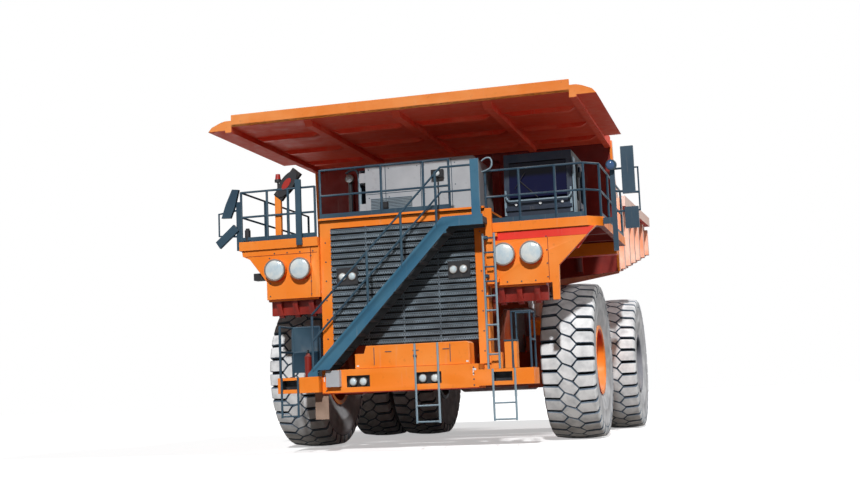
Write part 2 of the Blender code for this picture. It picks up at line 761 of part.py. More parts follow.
def make_arms_and_knuckles():
    for side, name in SIDES:
        low, high = ARM_LOW_Z, ARM_HIGH_Z
        outline = [(ARM_IN_X, PIVOT_TUBE_Y - 0.22), (ARM_OUT_X, PIVOT_TUBE_Y - 0.22),
                   (ARM_OUT_X, PIVOT_TUBE_Y + 0.30), (ARM_TIP_X, -ARM_TAIL_Y),
                   (ARM_TIP_X, ARM_TAIL_Y), (ARM_TIP_X - 0.42, ARM_TAIL_Y), (ARM_IN_X, -0.30)]
        arm = slab('Z', outline, low, high)
        lug_outline = [(ARM_TIP_X - 0.10, -ARM_TAIL_Y + 0.04), (KINGPIN_X, -0.20)]
        lug_outline += circle((KINGPIN_X, 0), 0.20, -75, 75, 7)
        lug_outline += [(KINGPIN_X, 0.20), (ARM_TIP_X - 0.10, ARM_TAIL_Y - 0.04)]
        upper = slab('Z', lug_outline, KINGPIN_HIGH_Z + GAP, KINGPIN_HIGH_Z + LUG_T)
        lower = slab('Z', lug_outline, KINGPIN_LOW_Z - LUG_T, KINGPIN_LOW_Z - GAP)
        web = box((ARM_TIP_X - 0.12, -ARM_TAIL_Y + 0.06, ARM_LOW_Z + INSET),
                  (ARM_TIP_X - 0.01, ARM_TAIL_Y - 0.06, KINGPIN_HIGH_Z + LUG_T))
        # the lower web stands ahead of the steering lever at full lock
        low_web = box((ARM_TIP_X - 0.12, -ARM_TAIL_Y + 0.06, KINGPIN_LOW_Z - LUG_T),
                      (ARM_TIP_X - 0.01, -0.05, ARM_LOW_Z + INSET * 2))
        arm = weld(arm, upper, lower, web, low_web)
        knuckle = rod((KINGPIN_X, 0, KINGPIN_LOW_Z), (KINGPIN_X, 0, KINGPIN_HIGH_Z), KINGPIN_R, 20)
        face = FRONT_WHEEL_X - RIM_FACE_IN - GAP
        stub = rod((KINGPIN_X, 0, AXLE_Z), (face, 0, AXLE_Z), STUB_R, 20, RIM_FACE_R - 0.03)
        tip = (KINGPIN_X - STEER_ARM_IN, STEER_ARM_Y)
        lever_outline = [(KINGPIN_X + 0.12, 0), (tip[0] + STEER_ARM_R, tip[1])]
        lever_outline += circle(tip, STEER_ARM_R, 20, 180, 6)
        lever_outline += [(KINGPIN_X - 0.14, 0.05)]
        lever = slab('Z', lever_outline, STEER_ARM_LOW_Z, STEER_ARM_LOW_Z + STEER_ARM_T)
        knuckle = weld(knuckle, stub, lever)
        if side < 0:
            arm = flip(arm)
            knuckle = flip(knuckle)
        keep(arm, 'trailing_arm_' + name, 'orange_paint')
        keep(knuckle, 'knuckle_' + name, 'black_paint', STEER[side])


def flip(obj):
    """The same piece on the truck's other side."""
    other = mirrored(obj)
    bpy.data.objects.remove(obj)
    return other


def make_tie_rod():
    reach = KINGPIN_X - STEER_ARM_IN
    low = STEER_ARM_LOW_Z - 0.12
    tube = rod((-reach, STEER_ARM_Y, low), (reach, STEER_ARM_Y, low), TIE_ROD_R, 12)
    ends = [rod((side * reach, STEER_ARM_Y, low - 0.08),
                (side * reach, STEER_ARM_Y, STEER_ARM_LOW_Z - GAP), 0.085, 12) for side, _ in SIDES]
    empty = new_empty('tie_rod_slide', (0, STEER_ARM_Y, low), DATUM)
    keep(weld(tube, *ends), 'tie_rod', 'bare_steel', empty)


def make_main_frame():
    top, bottom = RAIL_TOP_Z, RAIL_BOTTOM_Z
    high, low = RAIL_HIGH_TOP_Z, RAIL_HIGH_BOTTOM_Z
    end_r = (high - low) / 2
    outline = [(RAIL_FRONT_Y, bottom), (KICK_START_Y, bottom), (KICK_END_Y, low)]
    outline += circle((HINGE_Y, (high + low) / 2), end_r, -90, 90, 9)
    outline += [(STEP_END_Y, high), (STEP_START_Y, top), (RAIL_FRONT_Y, top)]
    rails = []
    for side, _ in SIDES:
        inner, outer = side * RAIL_IN, side * RAIL_OUT
        rails.append(slab('X', outline, min(inner, outer), max(inner, outer)))
    parts = [
        rod((-PIVOT_TUBE_X, PIVOT_TUBE_Y, PIVOT_TUBE_Z), (PIVOT_TUBE_X, PIVOT_TUBE_Y, PIVOT_TUBE_Z),
            PIVOT_TUBE_R, 20),
        rod((-RAIL_IN - INSET, MID_TUBE_Y, MID_TUBE_Z), (RAIL_IN + INSET, MID_TUBE_Y, MID_TUBE_Z),
            MID_TUBE_R, 20),
        rod((-RAIL_IN - INSET, HINGE_Y, HINGE_Z), (RAIL_IN + INSET, HINGE_Y, HINGE_Z),
            HINGE_TUBE_R, 20),
        rod((-EAR_OUT_X - 0.03, HINGE_Y, HINGE_Z), (EAR_OUT_X + 0.03, HINGE_Y, HINGE_Z),
            HINGE_PIN_R, 20),
        box((-RAIL_OUT - INSET, -COLLAR_HALF_Y, COLLAR_BEAM_Z),
            (RAIL_OUT + INSET, COLLAR_HALF_Y, COLLAR_TOP_Z)),
    ]
    tower = [(RAIL_IN + 0.06, top - 0.3), (RAIL_OUT + 0.08, top - 0.3), (STRUT_X - STRUT_R - 0.10, COLLAR_SHELF_Z),
             (COLLAR_X, COLLAR_SHELF_Z), (COLLAR_X, COLLAR_TOP_Z - 0.08),
             (COLLAR_X - 0.14, COLLAR_TOP_Z), (RAIL_IN + 0.06, COLLAR_TOP_Z)]
    for side, _ in SIDES:
        parts.append(slab('Y', [(side * x, z) for x, z in tower], -COLLAR_HALF_Y, COLLAR_HALF_Y))
        boss_in, boss_out = side * (RAIL_OUT - INSET), side * (HOIST_X - HOIST_EYE_HALF - GAP)
        parts.append(rod((boss_in, HOIST_FOOT_Y, HOIST_FOOT_Z), (boss_out, HOIST_FOOT_Y, HOIST_FOOT_Z),
                         HOIST_BOSS_R, 20))
        parts.append(box((min(side * (RAIL_OUT - INSET), side * (HOIST_X + REAR_STRUT_R)),
                          REAR_STRUT_Y - REAR_STRUT_R, STRUT_BOSS_Z),
                         (max(side * (RAIL_OUT - INSET), side * (HOIST_X + REAR_STRUT_R)),
                          REAR_STRUT_Y + REAR_STRUT_R, STRUT_BOSS_Z + 0.22)))
        hanger = (side * (RAIL_OUT - INSET), side * (TANK_IN_X - GAP))
        parts.append(box((min(hanger), TANK_FRONT_Y + 0.10, MID_TUBE_Z - 0.20),
                         (max(hanger), TANK_FRONT_Y + 0.45, MID_TUBE_Z + 0.20)))
    keep(weld(rails[0], rails[1], *parts), 'main_frame', 'orange_paint')


def make_bumper():
    back = RAIL_FRONT_Y - GAP
    base = slab('X', [(BUMPER_FRONT_Y, BUMPER_LOW_Z + 0.02), (BUMPER_FRONT_Y + 0.02, BUMPER_LOW_Z),
                      (back, BUMPER_LOW_Z), (back, BUMPER_TOP_Z), (BUMPER_FRONT_Y, BUMPER_TOP_Z)],
                -BUMPER_HALF_X, BUMPER_HALF_X)
    parts = []
    platforms = ((PLATFORM_RIGHT_X, -BUMPER_HALF_X + INSET, STAIR_FRONT_Y),
                 (BUMPER_HALF_X - INSET, PLATFORM_LEFT_X, BUMPER_FRONT_Y))
    for low_x, high_x, front in platforms:
        parts.append(box((low_x, front, PLATFORM_LOW_Z), (high_x, PLATFORM_BACK_Y, PLATFORM_TOP_Z)))
    for side, _ in SIDES:
        ends = (side * (RAIL_OUT + ROOM), side * POST_OUT_X)
        parts.append(box((min(ends), back - INSET, PLATFORM_TOP_Z - 0.10),
                         (max(ends), SHELF_BACK_Y, BUMPER_TOP_Z - INSET)))
    parts.append(box((FRONT_BOX_RIGHT_X, BUMPER_FRONT_Y - FRONT_BOX_OUT, FRONT_BOX_LOW_Z),
                     (FRONT_BOX_LEFT_X, BUMPER_FRONT_Y + INSET, BUMPER_TOP_Z - INSET)))
    parts.append(box((FLAP_RIGHT_X, FLAP_FRONT_Y, FLAP_LOW_Z),
                     (FLAP_LEFT_X, FLAP_FRONT_Y + FLAP_T, PLATFORM_LOW_Z + INSET)))
    bumper = weld(base, *parts)
    # low x, high x, low z, high z of each recess in the front face
    recesses = ((-1.15, -0.64, 1.36, 1.60), (0.37, 0.91, 1.37, 1.61))
    pockets = ((PLATFORM_RIGHT_X + 0.11, PLATFORM_RIGHT_X + 0.45, STAIR_FRONT_Y),
               (PLATFORM_LEFT_X - 0.84, PLATFORM_LEFT_X - 0.45, BUMPER_FRONT_Y))
    cutters = [box((x0, BUMPER_FRONT_Y - OVERRUN, z0), (x1, BUMPER_FRONT_Y + LAMP_RECESS_DEPTH, z1))
               for x0, x1, z0, z1 in recesses]
    cutters += [box((x0, front - OVERRUN, PLATFORM_LOW_Z + 0.08),
                    (x1, front + LAMP_RECESS_DEPTH * 2, PLATFORM_TOP_Z - 0.06))
                for x0, x1, front in pockets]
    keep(cut(bumper, *cutters), 'front_bumper', 'orange_paint')


def make_bumper_box():
    low = BUMPER_TOP_Z + GAP
    outline = [(BOX_RIGHT_X, low), (BOX_LEFT_X, low), (BOX_LEFT_X, BOX_TOP_Z - 0.04),
               (BOX_LEFT_X - 0.06, BOX_TOP_Z), (BOX_STEP_X, BOX_TOP_Z), (BOX_STEP_X - 0.05, BOX_STEP_Z),
               (BOX_RIGHT_X, BOX_STEP_Z)]
    keep(slab('Y', outline, BOX_FRONT_Y, BOX_BACK_Y), 'bumper_box', 'orange_paint')


def make_radiator():
    foot = BUMPER_TOP_Z + GAP
    sill_low = RAIL_TOP_Z + GAP
    parts = [box((side * POST_IN_X if side > 0 else -POST_OUT_X, POST_FRONT_Y, foot),
                 (POST_OUT_X if side > 0 else -POST_IN_X, POST_BACK_Y, BEAM_TOP_Z))
             for side, _ in SIDES]
    back = RAIL_FRONT_Y
    beam = box((-POST_IN_X - INSET, POST_FRONT_Y, BEAM_LOW_Z), (POST_IN_X + INSET, POST_BACK_Y, BEAM_TOP_Z))
    sill = box((-POST_IN_X - INSET, back, sill_low), (POST_IN_X + INSET, POST_BACK_Y, SILL_TOP_Z))
    keep(weld(beam, sill, *parts), 'radiator_frame', 'orange_paint')


def make_grille():
    low, high = GRILLE_LOW_Z, BEAM_LOW_Z - GAP
    pitch = (high - low) / GRILLE_SLATS
    back = RAIL_FRONT_Y - GAP
    outline = [(back, high), (back, low)]
    for i in range(GRILLE_SLATS):
        z = low + i * pitch
        outline += [(GRILLE_FRONT_Y, z), (GRILLE_FRONT_Y - SLAT_OUT, z + pitch * 0.12),
                    (GRILLE_FRONT_Y - SLAT_OUT * 0.6, z + pitch * 0.8),
                    (GRILLE_FRONT_Y, z + pitch * 0.86)]
    outline.append((GRILLE_FRONT_Y, high))
    edge = POST_IN_X - GAP
    front = GRILLE_FRONT_Y - SLAT_OUT
    parts = [box((x0, front - LAMP_PLATE_T, z0), (x1, back - INSET, z1)) for x0, x1, z0, z1 in LAMP_PLATES]
    parts += [rod((x, front, PLATE_LAMP_Z), (x, front - LAMP_PLATE_T - PLATE_LAMP_OUT, PLATE_LAMP_Z),
                  PLATE_LAMP_R, 16) for x in PLATE_LAMP_XS]
    keep(weld(slab('X', outline, -edge, edge), *parts), 'grille', 'dark_mesh')


def make_engine():
    low = PIVOT_TUBE_Z + PIVOT_TUBE_R + GAP
    keep(box((-ENGINE_HALF_X, ENGINE_FRONT_Y, low), (ENGINE_HALF_X, ENGINE_BACK_Y, ENGINE_TOP_Z)),
         'engine_block', 'black_paint')


def deck_pockets(x0, x1, y0, y1, low, top, rows, columns):
    """The spaces between a deck's beams, open below."""
    pockets = []
    for i in range(columns):
        for j in range(rows):
            wide = (x1 - x0 - DECK_BEAM_T * (columns + 1)) / columns
            long = (y1 - y0 - DECK_BEAM_T * (rows + 1)) / rows
            x = x0 + DECK_BEAM_T + i * (wide + DECK_BEAM_T)
            y = y0 + DECK_BEAM_T + j * (long + DECK_BEAM_T)
            pockets.append(box((x, y, low - OVERRUN), (x + wide, y + long, top - DECK_PLATE_T)))
    return pockets


def make_decks():
    c = DECK_CHAMFER
    left = slab('Z', [(DECK_IN_X, DECK_FRONT_Y), (DECK_LEFT_X - c, DECK_FRONT_Y),
                      (DECK_LEFT_X, DECK_FRONT_Y + c), (DECK_LEFT_X, DECK_BACK_Y),
                      (DECK_IN_X, DECK_BACK_Y)], DECK_LOW_Z, DECK_TOP_Z)
    left = cut(left, *deck_pockets(DECK_IN_X, DECK_LEFT_X, DECK_FRONT_Y + c, DECK_BACK_Y,
                                   DECK_LOW_Z, DECK_TOP_Z, 3, 2))
    keep(left, 'deck_left', 'orange_paint')
    right = box((DECK_RIGHT_X, DECK_FRONT_Y, DECK_LOW_Z), (-DECK_IN_X, DECK_BACK_Y, DECK_TOP_Z))
    right = cut(right, *deck_pockets(DECK_RIGHT_X, -DECK_IN_X, DECK_FRONT_Y, DECK_BACK_Y,
                                     DECK_LOW_Z, DECK_TOP_Z, 3, 2))
    post = box((DECK_POST_RIGHT_X, DECK_POST_FRONT_Y, DECK_TOP_Z - INSET),
               (DECK_POST_LEFT_X, DECK_POST_BACK_Y, DECK_POST_TOP_Z))
    tilted = slab('Y', TILTED_BOX, DECK_POST_FRONT_Y - INSET, DECK_POST_BACK_Y + INSET)
    keep(weld(right, post, tilted), 'deck_right', 'orange_paint')
    plate = box((-POST_OUT_X, FASCIA_FRONT_Y, BEAM_TOP_Z + GAP),
                (POST_OUT_X, DECK_BACK_Y, CENTRE_DECK_TOP_Z))
    under = box((-POST_OUT_X + INSET, POST_BACK_Y + ROOM, CENTRE_DECK_LOW_Z),
                (POST_OUT_X - INSET, DECK_BACK_Y - INSET, BEAM_TOP_Z + INSET))
    keep(weld(under, plate), 'deck_centre', 'orange_paint')


def make_cross_beam():
    low, high = CROSS_BEAM_LOW_Z, DECK_LOW_Z - GAP
    beam = box((DECK_RIGHT_X + 0.1, CROSS_BEAM_Y - CROSS_BEAM_HALF, low),
               (DECK_LEFT_X - 0.1, CROSS_BEAM_Y + CROSS_BEAM_HALF, high))
    columns = [box((side * COLUMN_X - COLUMN_HALF, CROSS_BEAM_Y - COLUMN_HALF, COLLAR_TOP_Z + GAP),
                   (side * COLUMN_X + COLUMN_HALF, CROSS_BEAM_Y + COLUMN_HALF,
                    CENTRE_DECK_LOW_Z - GAP)) for side, _ in SIDES]
    keep(weld(beam, *columns), 'deck_cross_beam', 'orange_paint')


def make_lamp_brackets():
    top = DECK_LOW_Z - GAP
    inner = POST_OUT_X + GAP
    left = [(inner, top), (inner, FASCIA_LOW_Z), (LEFT_TAB_X, FASCIA_LOW_Z),
            (LEFT_TAB_X, LEFT_TAB_LOW_Z), (LEFT_TAB_END_X, LEFT_TAB_LOW_Z),
            (LEFT_TAB_END_X + 0.02, 3.69), (4.03, 4.30), (4.22, top)]
    right = [(-inner, top), (-inner, FASCIA_LOW_Z), (-FASCIA_SIDE_X, FASCIA_LOW_Z),
             (-FASCIA_SIDE_X, 3.74), (-3.49, 4.26), (-3.66, 4.34), (-3.68, top)]
    for side, name, outline in ((1, 'left', left), (-1, 'right', right)):
        plate = slab('Y', outline, FASCIA_FRONT_Y, FASCIA_BACK_Y)
        ends = (side * (inner + 0.06), side * FASCIA_SIDE_X)
        shelf = box((min(ends), FASCIA_BACK_Y - INSET, FASCIA_LOW_Z - 0.04),
                    (max(ends), GUSSET_BACK_Y, FASCIA_LOW_Z + 0.10))
        drop = box((min(ends), GUSSET_FRONT_Y + 0.12, GUSSET_LOW_Z),
                   (max(ends), GUSSET_BACK_Y, FASCIA_LOW_Z))
        parts = [shelf, drop]
        width = abs(ends[1] - ends[0])
        for share in (0.18, 0.5, 0.82):
            x = min(ends) + width * share
            parts.append(slab('X', [(GUSSET_FRONT_Y, FASCIA_LOW_Z), (GUSSET_FRONT_Y, 3.20),
                                    (GUSSET_FRONT_Y + 0.16, GUSSET_LOW_Z - 0.05),
                                    (GUSSET_BACK_Y - 0.02, GUSSET_LOW_Z - 0.05),
                                    (GUSSET_BACK_Y - 0.02, FASCIA_LOW_Z)], x - 0.06, x + 0.06))
        for x in LAMP_XS:
            parts.append(rod((side * x, FASCIA_FRONT_Y + INSET, LAMP_Z),
                             (side * x, FASCIA_FRONT_Y - LAMP_OUT, LAMP_Z), LAMP_R, 24))
        bracket = weld(plate, *parts)
        face = FASCIA_FRONT_Y - LAMP_OUT
        recesses = [rod((side * x, face - OVERRUN, LAMP_Z), (side * x, face + LENS_DEEP, LAMP_Z), LENS_R, 24)
                    for x in LAMP_XS]
        keep(cut(bracket, *recesses), 'lamp_bracket_' + name, 'orange_paint')


def stair_z(x):
    """The stringer's top edge over a place along the stairs."""
    foot = PLATFORM_TOP_Z + 0.06
    return foot + (STAIR_TOP_Z - foot) * (x - STAIR_FOOT_X) / (STAIR_TOP_X - STAIR_FOOT_X)


def make_stairs():
    foot = PLATFORM_TOP_Z + GAP
    landing_low = STAIR_TOP_Z - LANDING_T
    slope = (stair_z(0) - stair_z(-1)) / 1
    run = STRINGER_DEPTH_Z / slope
    heel_x, heel_z = -BUMPER_HALF_X - INSET, BUMPER_TOP_Z + ROOM
    outline = [(STAIR_FOOT_X, foot), (heel_x, foot), (heel_x, heel_z),
               (STAIR_FOOT_X + run + (heel_z - foot) / slope, heel_z),
               (STAIR_TOP_X + (landing_low - STAIR_TOP_Z + STRINGER_DEPTH_Z) / slope, landing_low),
               (LANDING_END_X, landing_low), (LANDING_END_X, STAIR_TOP_Z), (STAIR_TOP_X, STAIR_TOP_Z),
               (STAIR_FOOT_X, stair_z(STAIR_FOOT_X))]
    front = slab('Y', outline, STAIR_FRONT_Y, STAIR_FRONT_Y + STRINGER_T)
    parts = [slab('Y', outline, STAIR_BACK_Y - STRINGER_T, STAIR_BACK_Y)]
    rise = (STAIR_TOP_Z - foot) / (TREADS + 1)
    for i in range(1, TREADS + 1):
        z = foot + i * rise
        x = STAIR_FOOT_X + (z - foot) / slope + run / 2
        parts.append(box((x - TREAD_GO / 2, STAIR_FRONT_Y + INSET, z - TREAD_T),
                         (x + TREAD_GO / 2, STAIR_BACK_Y - INSET, z)))
    plate_low, plate_top = STAIR_TOP_Z - LANDING_T + 0.06, STAIR_TOP_Z - 0.03
    slats = GRILLE_FRONT_Y - SLAT_OUT - ROOM
    parts.append(box((STAIR_TOP_X, STAIR_FRONT_Y + INSET, plate_low),
                     (LANDING_END_X - INSET, STAIR_BACK_Y - INSET, plate_top)))
    parts.append(box((STAIR_TOP_X + INSET, STAIR_BACK_Y - STRINGER_T, plate_low + INSET),
                     (DECK_IN_X - ROOM, slats, plate_top - INSET)))
    parts.append(box((POST_IN_X + INSET, slats - INSET, plate_low + INSET * 2),
                     (POST_OUT_X - INSET, POST_FRONT_Y - GAP, plate_top - INSET * 2)))
    parts += stair_railing()
    keep(weld(front, *parts), 'front_stairs', 'slate_paint')


def railing(corners, base, top, mid, posts):
    """Posts and two rails along a line of (x, y) corners; posts at the given (x, y) places."""
    parts = [pipe([(x, y, top) for x, y in corners], RAIL_TUBE_R),
             pipe([(x, y, mid) for x, y in corners], RAIL_TUBE_R)]
    parts += [rod((x, y, base), (x, y, top + RAIL_TUBE_R * 0.4), POST_TUBE_R) for x, y in posts]
    return parts


def toe_plates(corners, base):
    plates = []
    for i, ((x0, y0), (x1, y1)) in enumerate(zip(corners, corners[1:])):
        lift = GAP * 10 * (i + 1)      # so that two plates meet at a corner with no shared face
        plates.append(box((min(x0, x1) - TOE_T / 2, min(y0, y1) - TOE_T / 2, base + lift),
                          (max(x0, x1) + TOE_T / 2, max(y0, y1) + TOE_T / 2, base + TOE_H + lift)))
    return plates


def make_railings():
    edge = 0.05
    base = DECK_TOP_Z + GAP
    top, mid = DECK_TOP_Z + TOP_RAIL_H, DECK_TOP_Z + MID_RAIL_H
    x0, x1 = DECK_IN_X + edge, DECK_LEFT_X - edge
    y0, y1 = DECK_FRONT_Y + edge, DECK_BACK_Y - edge
    chamfer = (x1 - DECK_CHAMFER, y0)
    corners = [(x0, y0), chamfer, (x1, y0 + DECK_CHAMFER), (x1, y1)]
    posts = [(x0, y0), (2.64, y0), (3.40, y0), chamfer, (x1, y0 + DECK_CHAMFER), (x1, -1.7),
             (x1, -0.4), (x1, y1)]
    parts = railing(corners, base, top, mid, posts)
    parts += toe_plates([corners[0], corners[1]], base) + toe_plates([corners[2], corners[3]], base)
    keep(weld(*parts), 'railing_left', 'slate_paint')

    x0, x1 = DECK_RIGHT_X + edge, -DECK_IN_X - edge
    corners = [(x1, y0), (x0, y0), (x0, y1)]
    posts = [(x1, y0), (-2.55, y0), (-3.05, y0), (x0, y0), (x0, -2.0), (x0, -0.6), (x0, y1)]
    parts = railing(corners, base, top, mid, posts) + toe_plates(corners, base)
    parts.append(box((EDGE_POST_RIGHT_X, EDGE_POST_FRONT_Y, EDGE_POST_LOW_Z),
                     (EDGE_POST_LEFT_X, DECK_FRONT_Y - GAP, EDGE_POST_TOP_Z)))
    for z in (top, mid):
        parts.append(box((EDGE_POST_RIGHT_X + INSET, DECK_FRONT_Y - INSET, z - RAIL_TUBE_R),
                         (EDGE_POST_LEFT_X - INSET, y0, z + RAIL_TUBE_R)))
    keep(weld(*parts), 'railing_right', 'slate_paint')

    base = CENTRE_DECK_TOP_Z + GAP
    top, mid = CENTRE_DECK_TOP_Z + TOP_RAIL_H * 0.96, CENTRE_DECK_TOP_Z + MID_RAIL_H * 0.9
    y = FASCIA_FRONT_Y + edge
    x0, x1 = -POST_OUT_X + edge, STAIR_TOP_X
    posts = [(x0, y), (-0.40, y), (0.55, y), (x1, y)]
    parts = railing([(x0, y), (x1, y)], base, top, mid, posts) + toe_plates([(x0, y), (x1, y)], base)
    keep(weld(*parts), 'railing_centre', 'slate_paint')


def make_platform_rails():
    base = PLATFORM_TOP_Z + GAP
    x0 = PLATFORM_RIGHT_X + RAIL_EDGE
    y0, y1 = STAIR_FRONT_Y + RAIL_EDGE, PLATFORM_BACK_Y - RAIL_EDGE
    corners = [(x0, y0), (x0, y1), (GUARD_LEFT_X, y1)]
    parts = railing(corners, base, GUARD_TOP_Z, GUARD_MID_Z, corners)
    parts.append(box((x0, y1 - GUARD_PANEL_T / 2, GUARD_PANEL_LOW_Z),
                     (GUARD_LEFT_X, y1 + GUARD_PANEL_T / 2, GUARD_TOP_Z)))
    keep(weld(*parts), 'platform_rails_right', 'slate_paint')

    x0, x1 = HOOP_IN_X, PLATFORM_LEFT_X - RAIL_EDGE
    y0 = BUMPER_FRONT_Y + RAIL_EDGE
    top, mid = HOOP_TOP_Z, (base + HOOP_TOP_Z) / 2
    parts = [pipe([(x0, y, base), (x0, y, top), (x1, y, top), (x1, y, base)], RAIL_TUBE_R)
             for y in (y0, y1)]
    parts += [pipe([(x1, y0, z), (x1, y1, z)], RAIL_TUBE_R) for z in (top, mid)]
    keep(weld(*parts), 'platform_rails_left', 'slate_paint')


def stair_railing():
    y = STAIR_FRONT_Y + STRINGER_T / 2
    base = STAIR_TOP_Z - INSET
    low_x = STAIR_FOOT_X + 0.12
    parts = []
    for height in (TOP_RAIL_H, MID_RAIL_H):
        points = [(low_x, y, stair_z(low_x) + height), (STAIR_TOP_X, y, STAIR_TOP_Z + height * 0.93),
                  (LANDING_END_X - 0.15, y, STAIR_TOP_Z + height * 0.93)]
        parts.append(pipe(points, RAIL_TUBE_R))
    for x in (low_x, -0.55, 0.22, STAIR_TOP_X - 0.12):
        parts.append(rod((x, y, stair_z(x) - 0.08), (x, y, stair_z(x) + TOP_RAIL_H * 0.97), POST_TUBE_R))
    gate = [(LANDING_END_X - 0.22, base), (LANDING_END_X - 0.04, base),
            (LANDING_END_X - 0.04, STAIR_TOP_Z + 1.16), (LANDING_END_X - 0.22, STAIR_TOP_Z + 1.16)]
    parts.append(slab('Y', gate, STAIR_FRONT_Y, STAIR_FRONT_Y + STRINGER_T))
    return parts


def ladder(x, wide, y, low, high, rungs, radius):
    """Two side rails and rungs between them; rungs is a list of heights."""
    parts = [rod((x + s * wide / 2, y, low), (x + s * wide / 2, y, high), radius) for s in (-1, 1)]
    parts += [rod((x - wide / 2, y, z), (x + wide / 2, y, z), radius * 0.85) for z in rungs]
    return weld(*parts)


def make_ladders():
    front = BUMPER_FRONT_Y - LADDER_R * 1.0 - GAP * 2
    low = 0.56
    centre = ladder(0.61, LADDER_WIDE + 0.03, front, low, BOX_TOP_Z, (low + 0.03, 0.92), LADDER_R)
    keep(centre, 'step_ladder_centre', 'slate_paint')
    left = ladder(PLATFORM_LEFT_X - 0.62, LADDER_WIDE, front, low, PLATFORM_TOP_Z,
                  (low + 0.03, 0.92), LADDER_R)
    keep(left, 'step_ladder_left', 'slate_paint')
    front = STAIR_FRONT_Y - LADDER_R - GAP * 2
    right = ladder(PLATFORM_RIGHT_X + 0.28, LADDER_WIDE * 0.8, front, 0.77, PLATFORM_TOP_Z,
                   (0.80, 1.04), LADDER_R)
    keep(right, 'step_ladder_right', 'slate_paint')
    y = BUMPER_FRONT_Y + 0.10
    base = PLATFORM_TOP_Z + GAP
    rungs = [base + 0.30 * i for i in range(1, 10)]
    tall = ladder(LANDING_END_X + 0.14, 0.24, y, base, DECK_LOW_Z - 0.05, rungs, LADDER_R)
    brackets = [box((LANDING_END_X, y, z), (LANDING_END_X + 0.10, FASCIA_FRONT_Y - GAP, z + 0.06))
                for z in (3.50, 4.30)]
    keep(weld(tall, *brackets), 'tall_ladder', 'slate_paint')


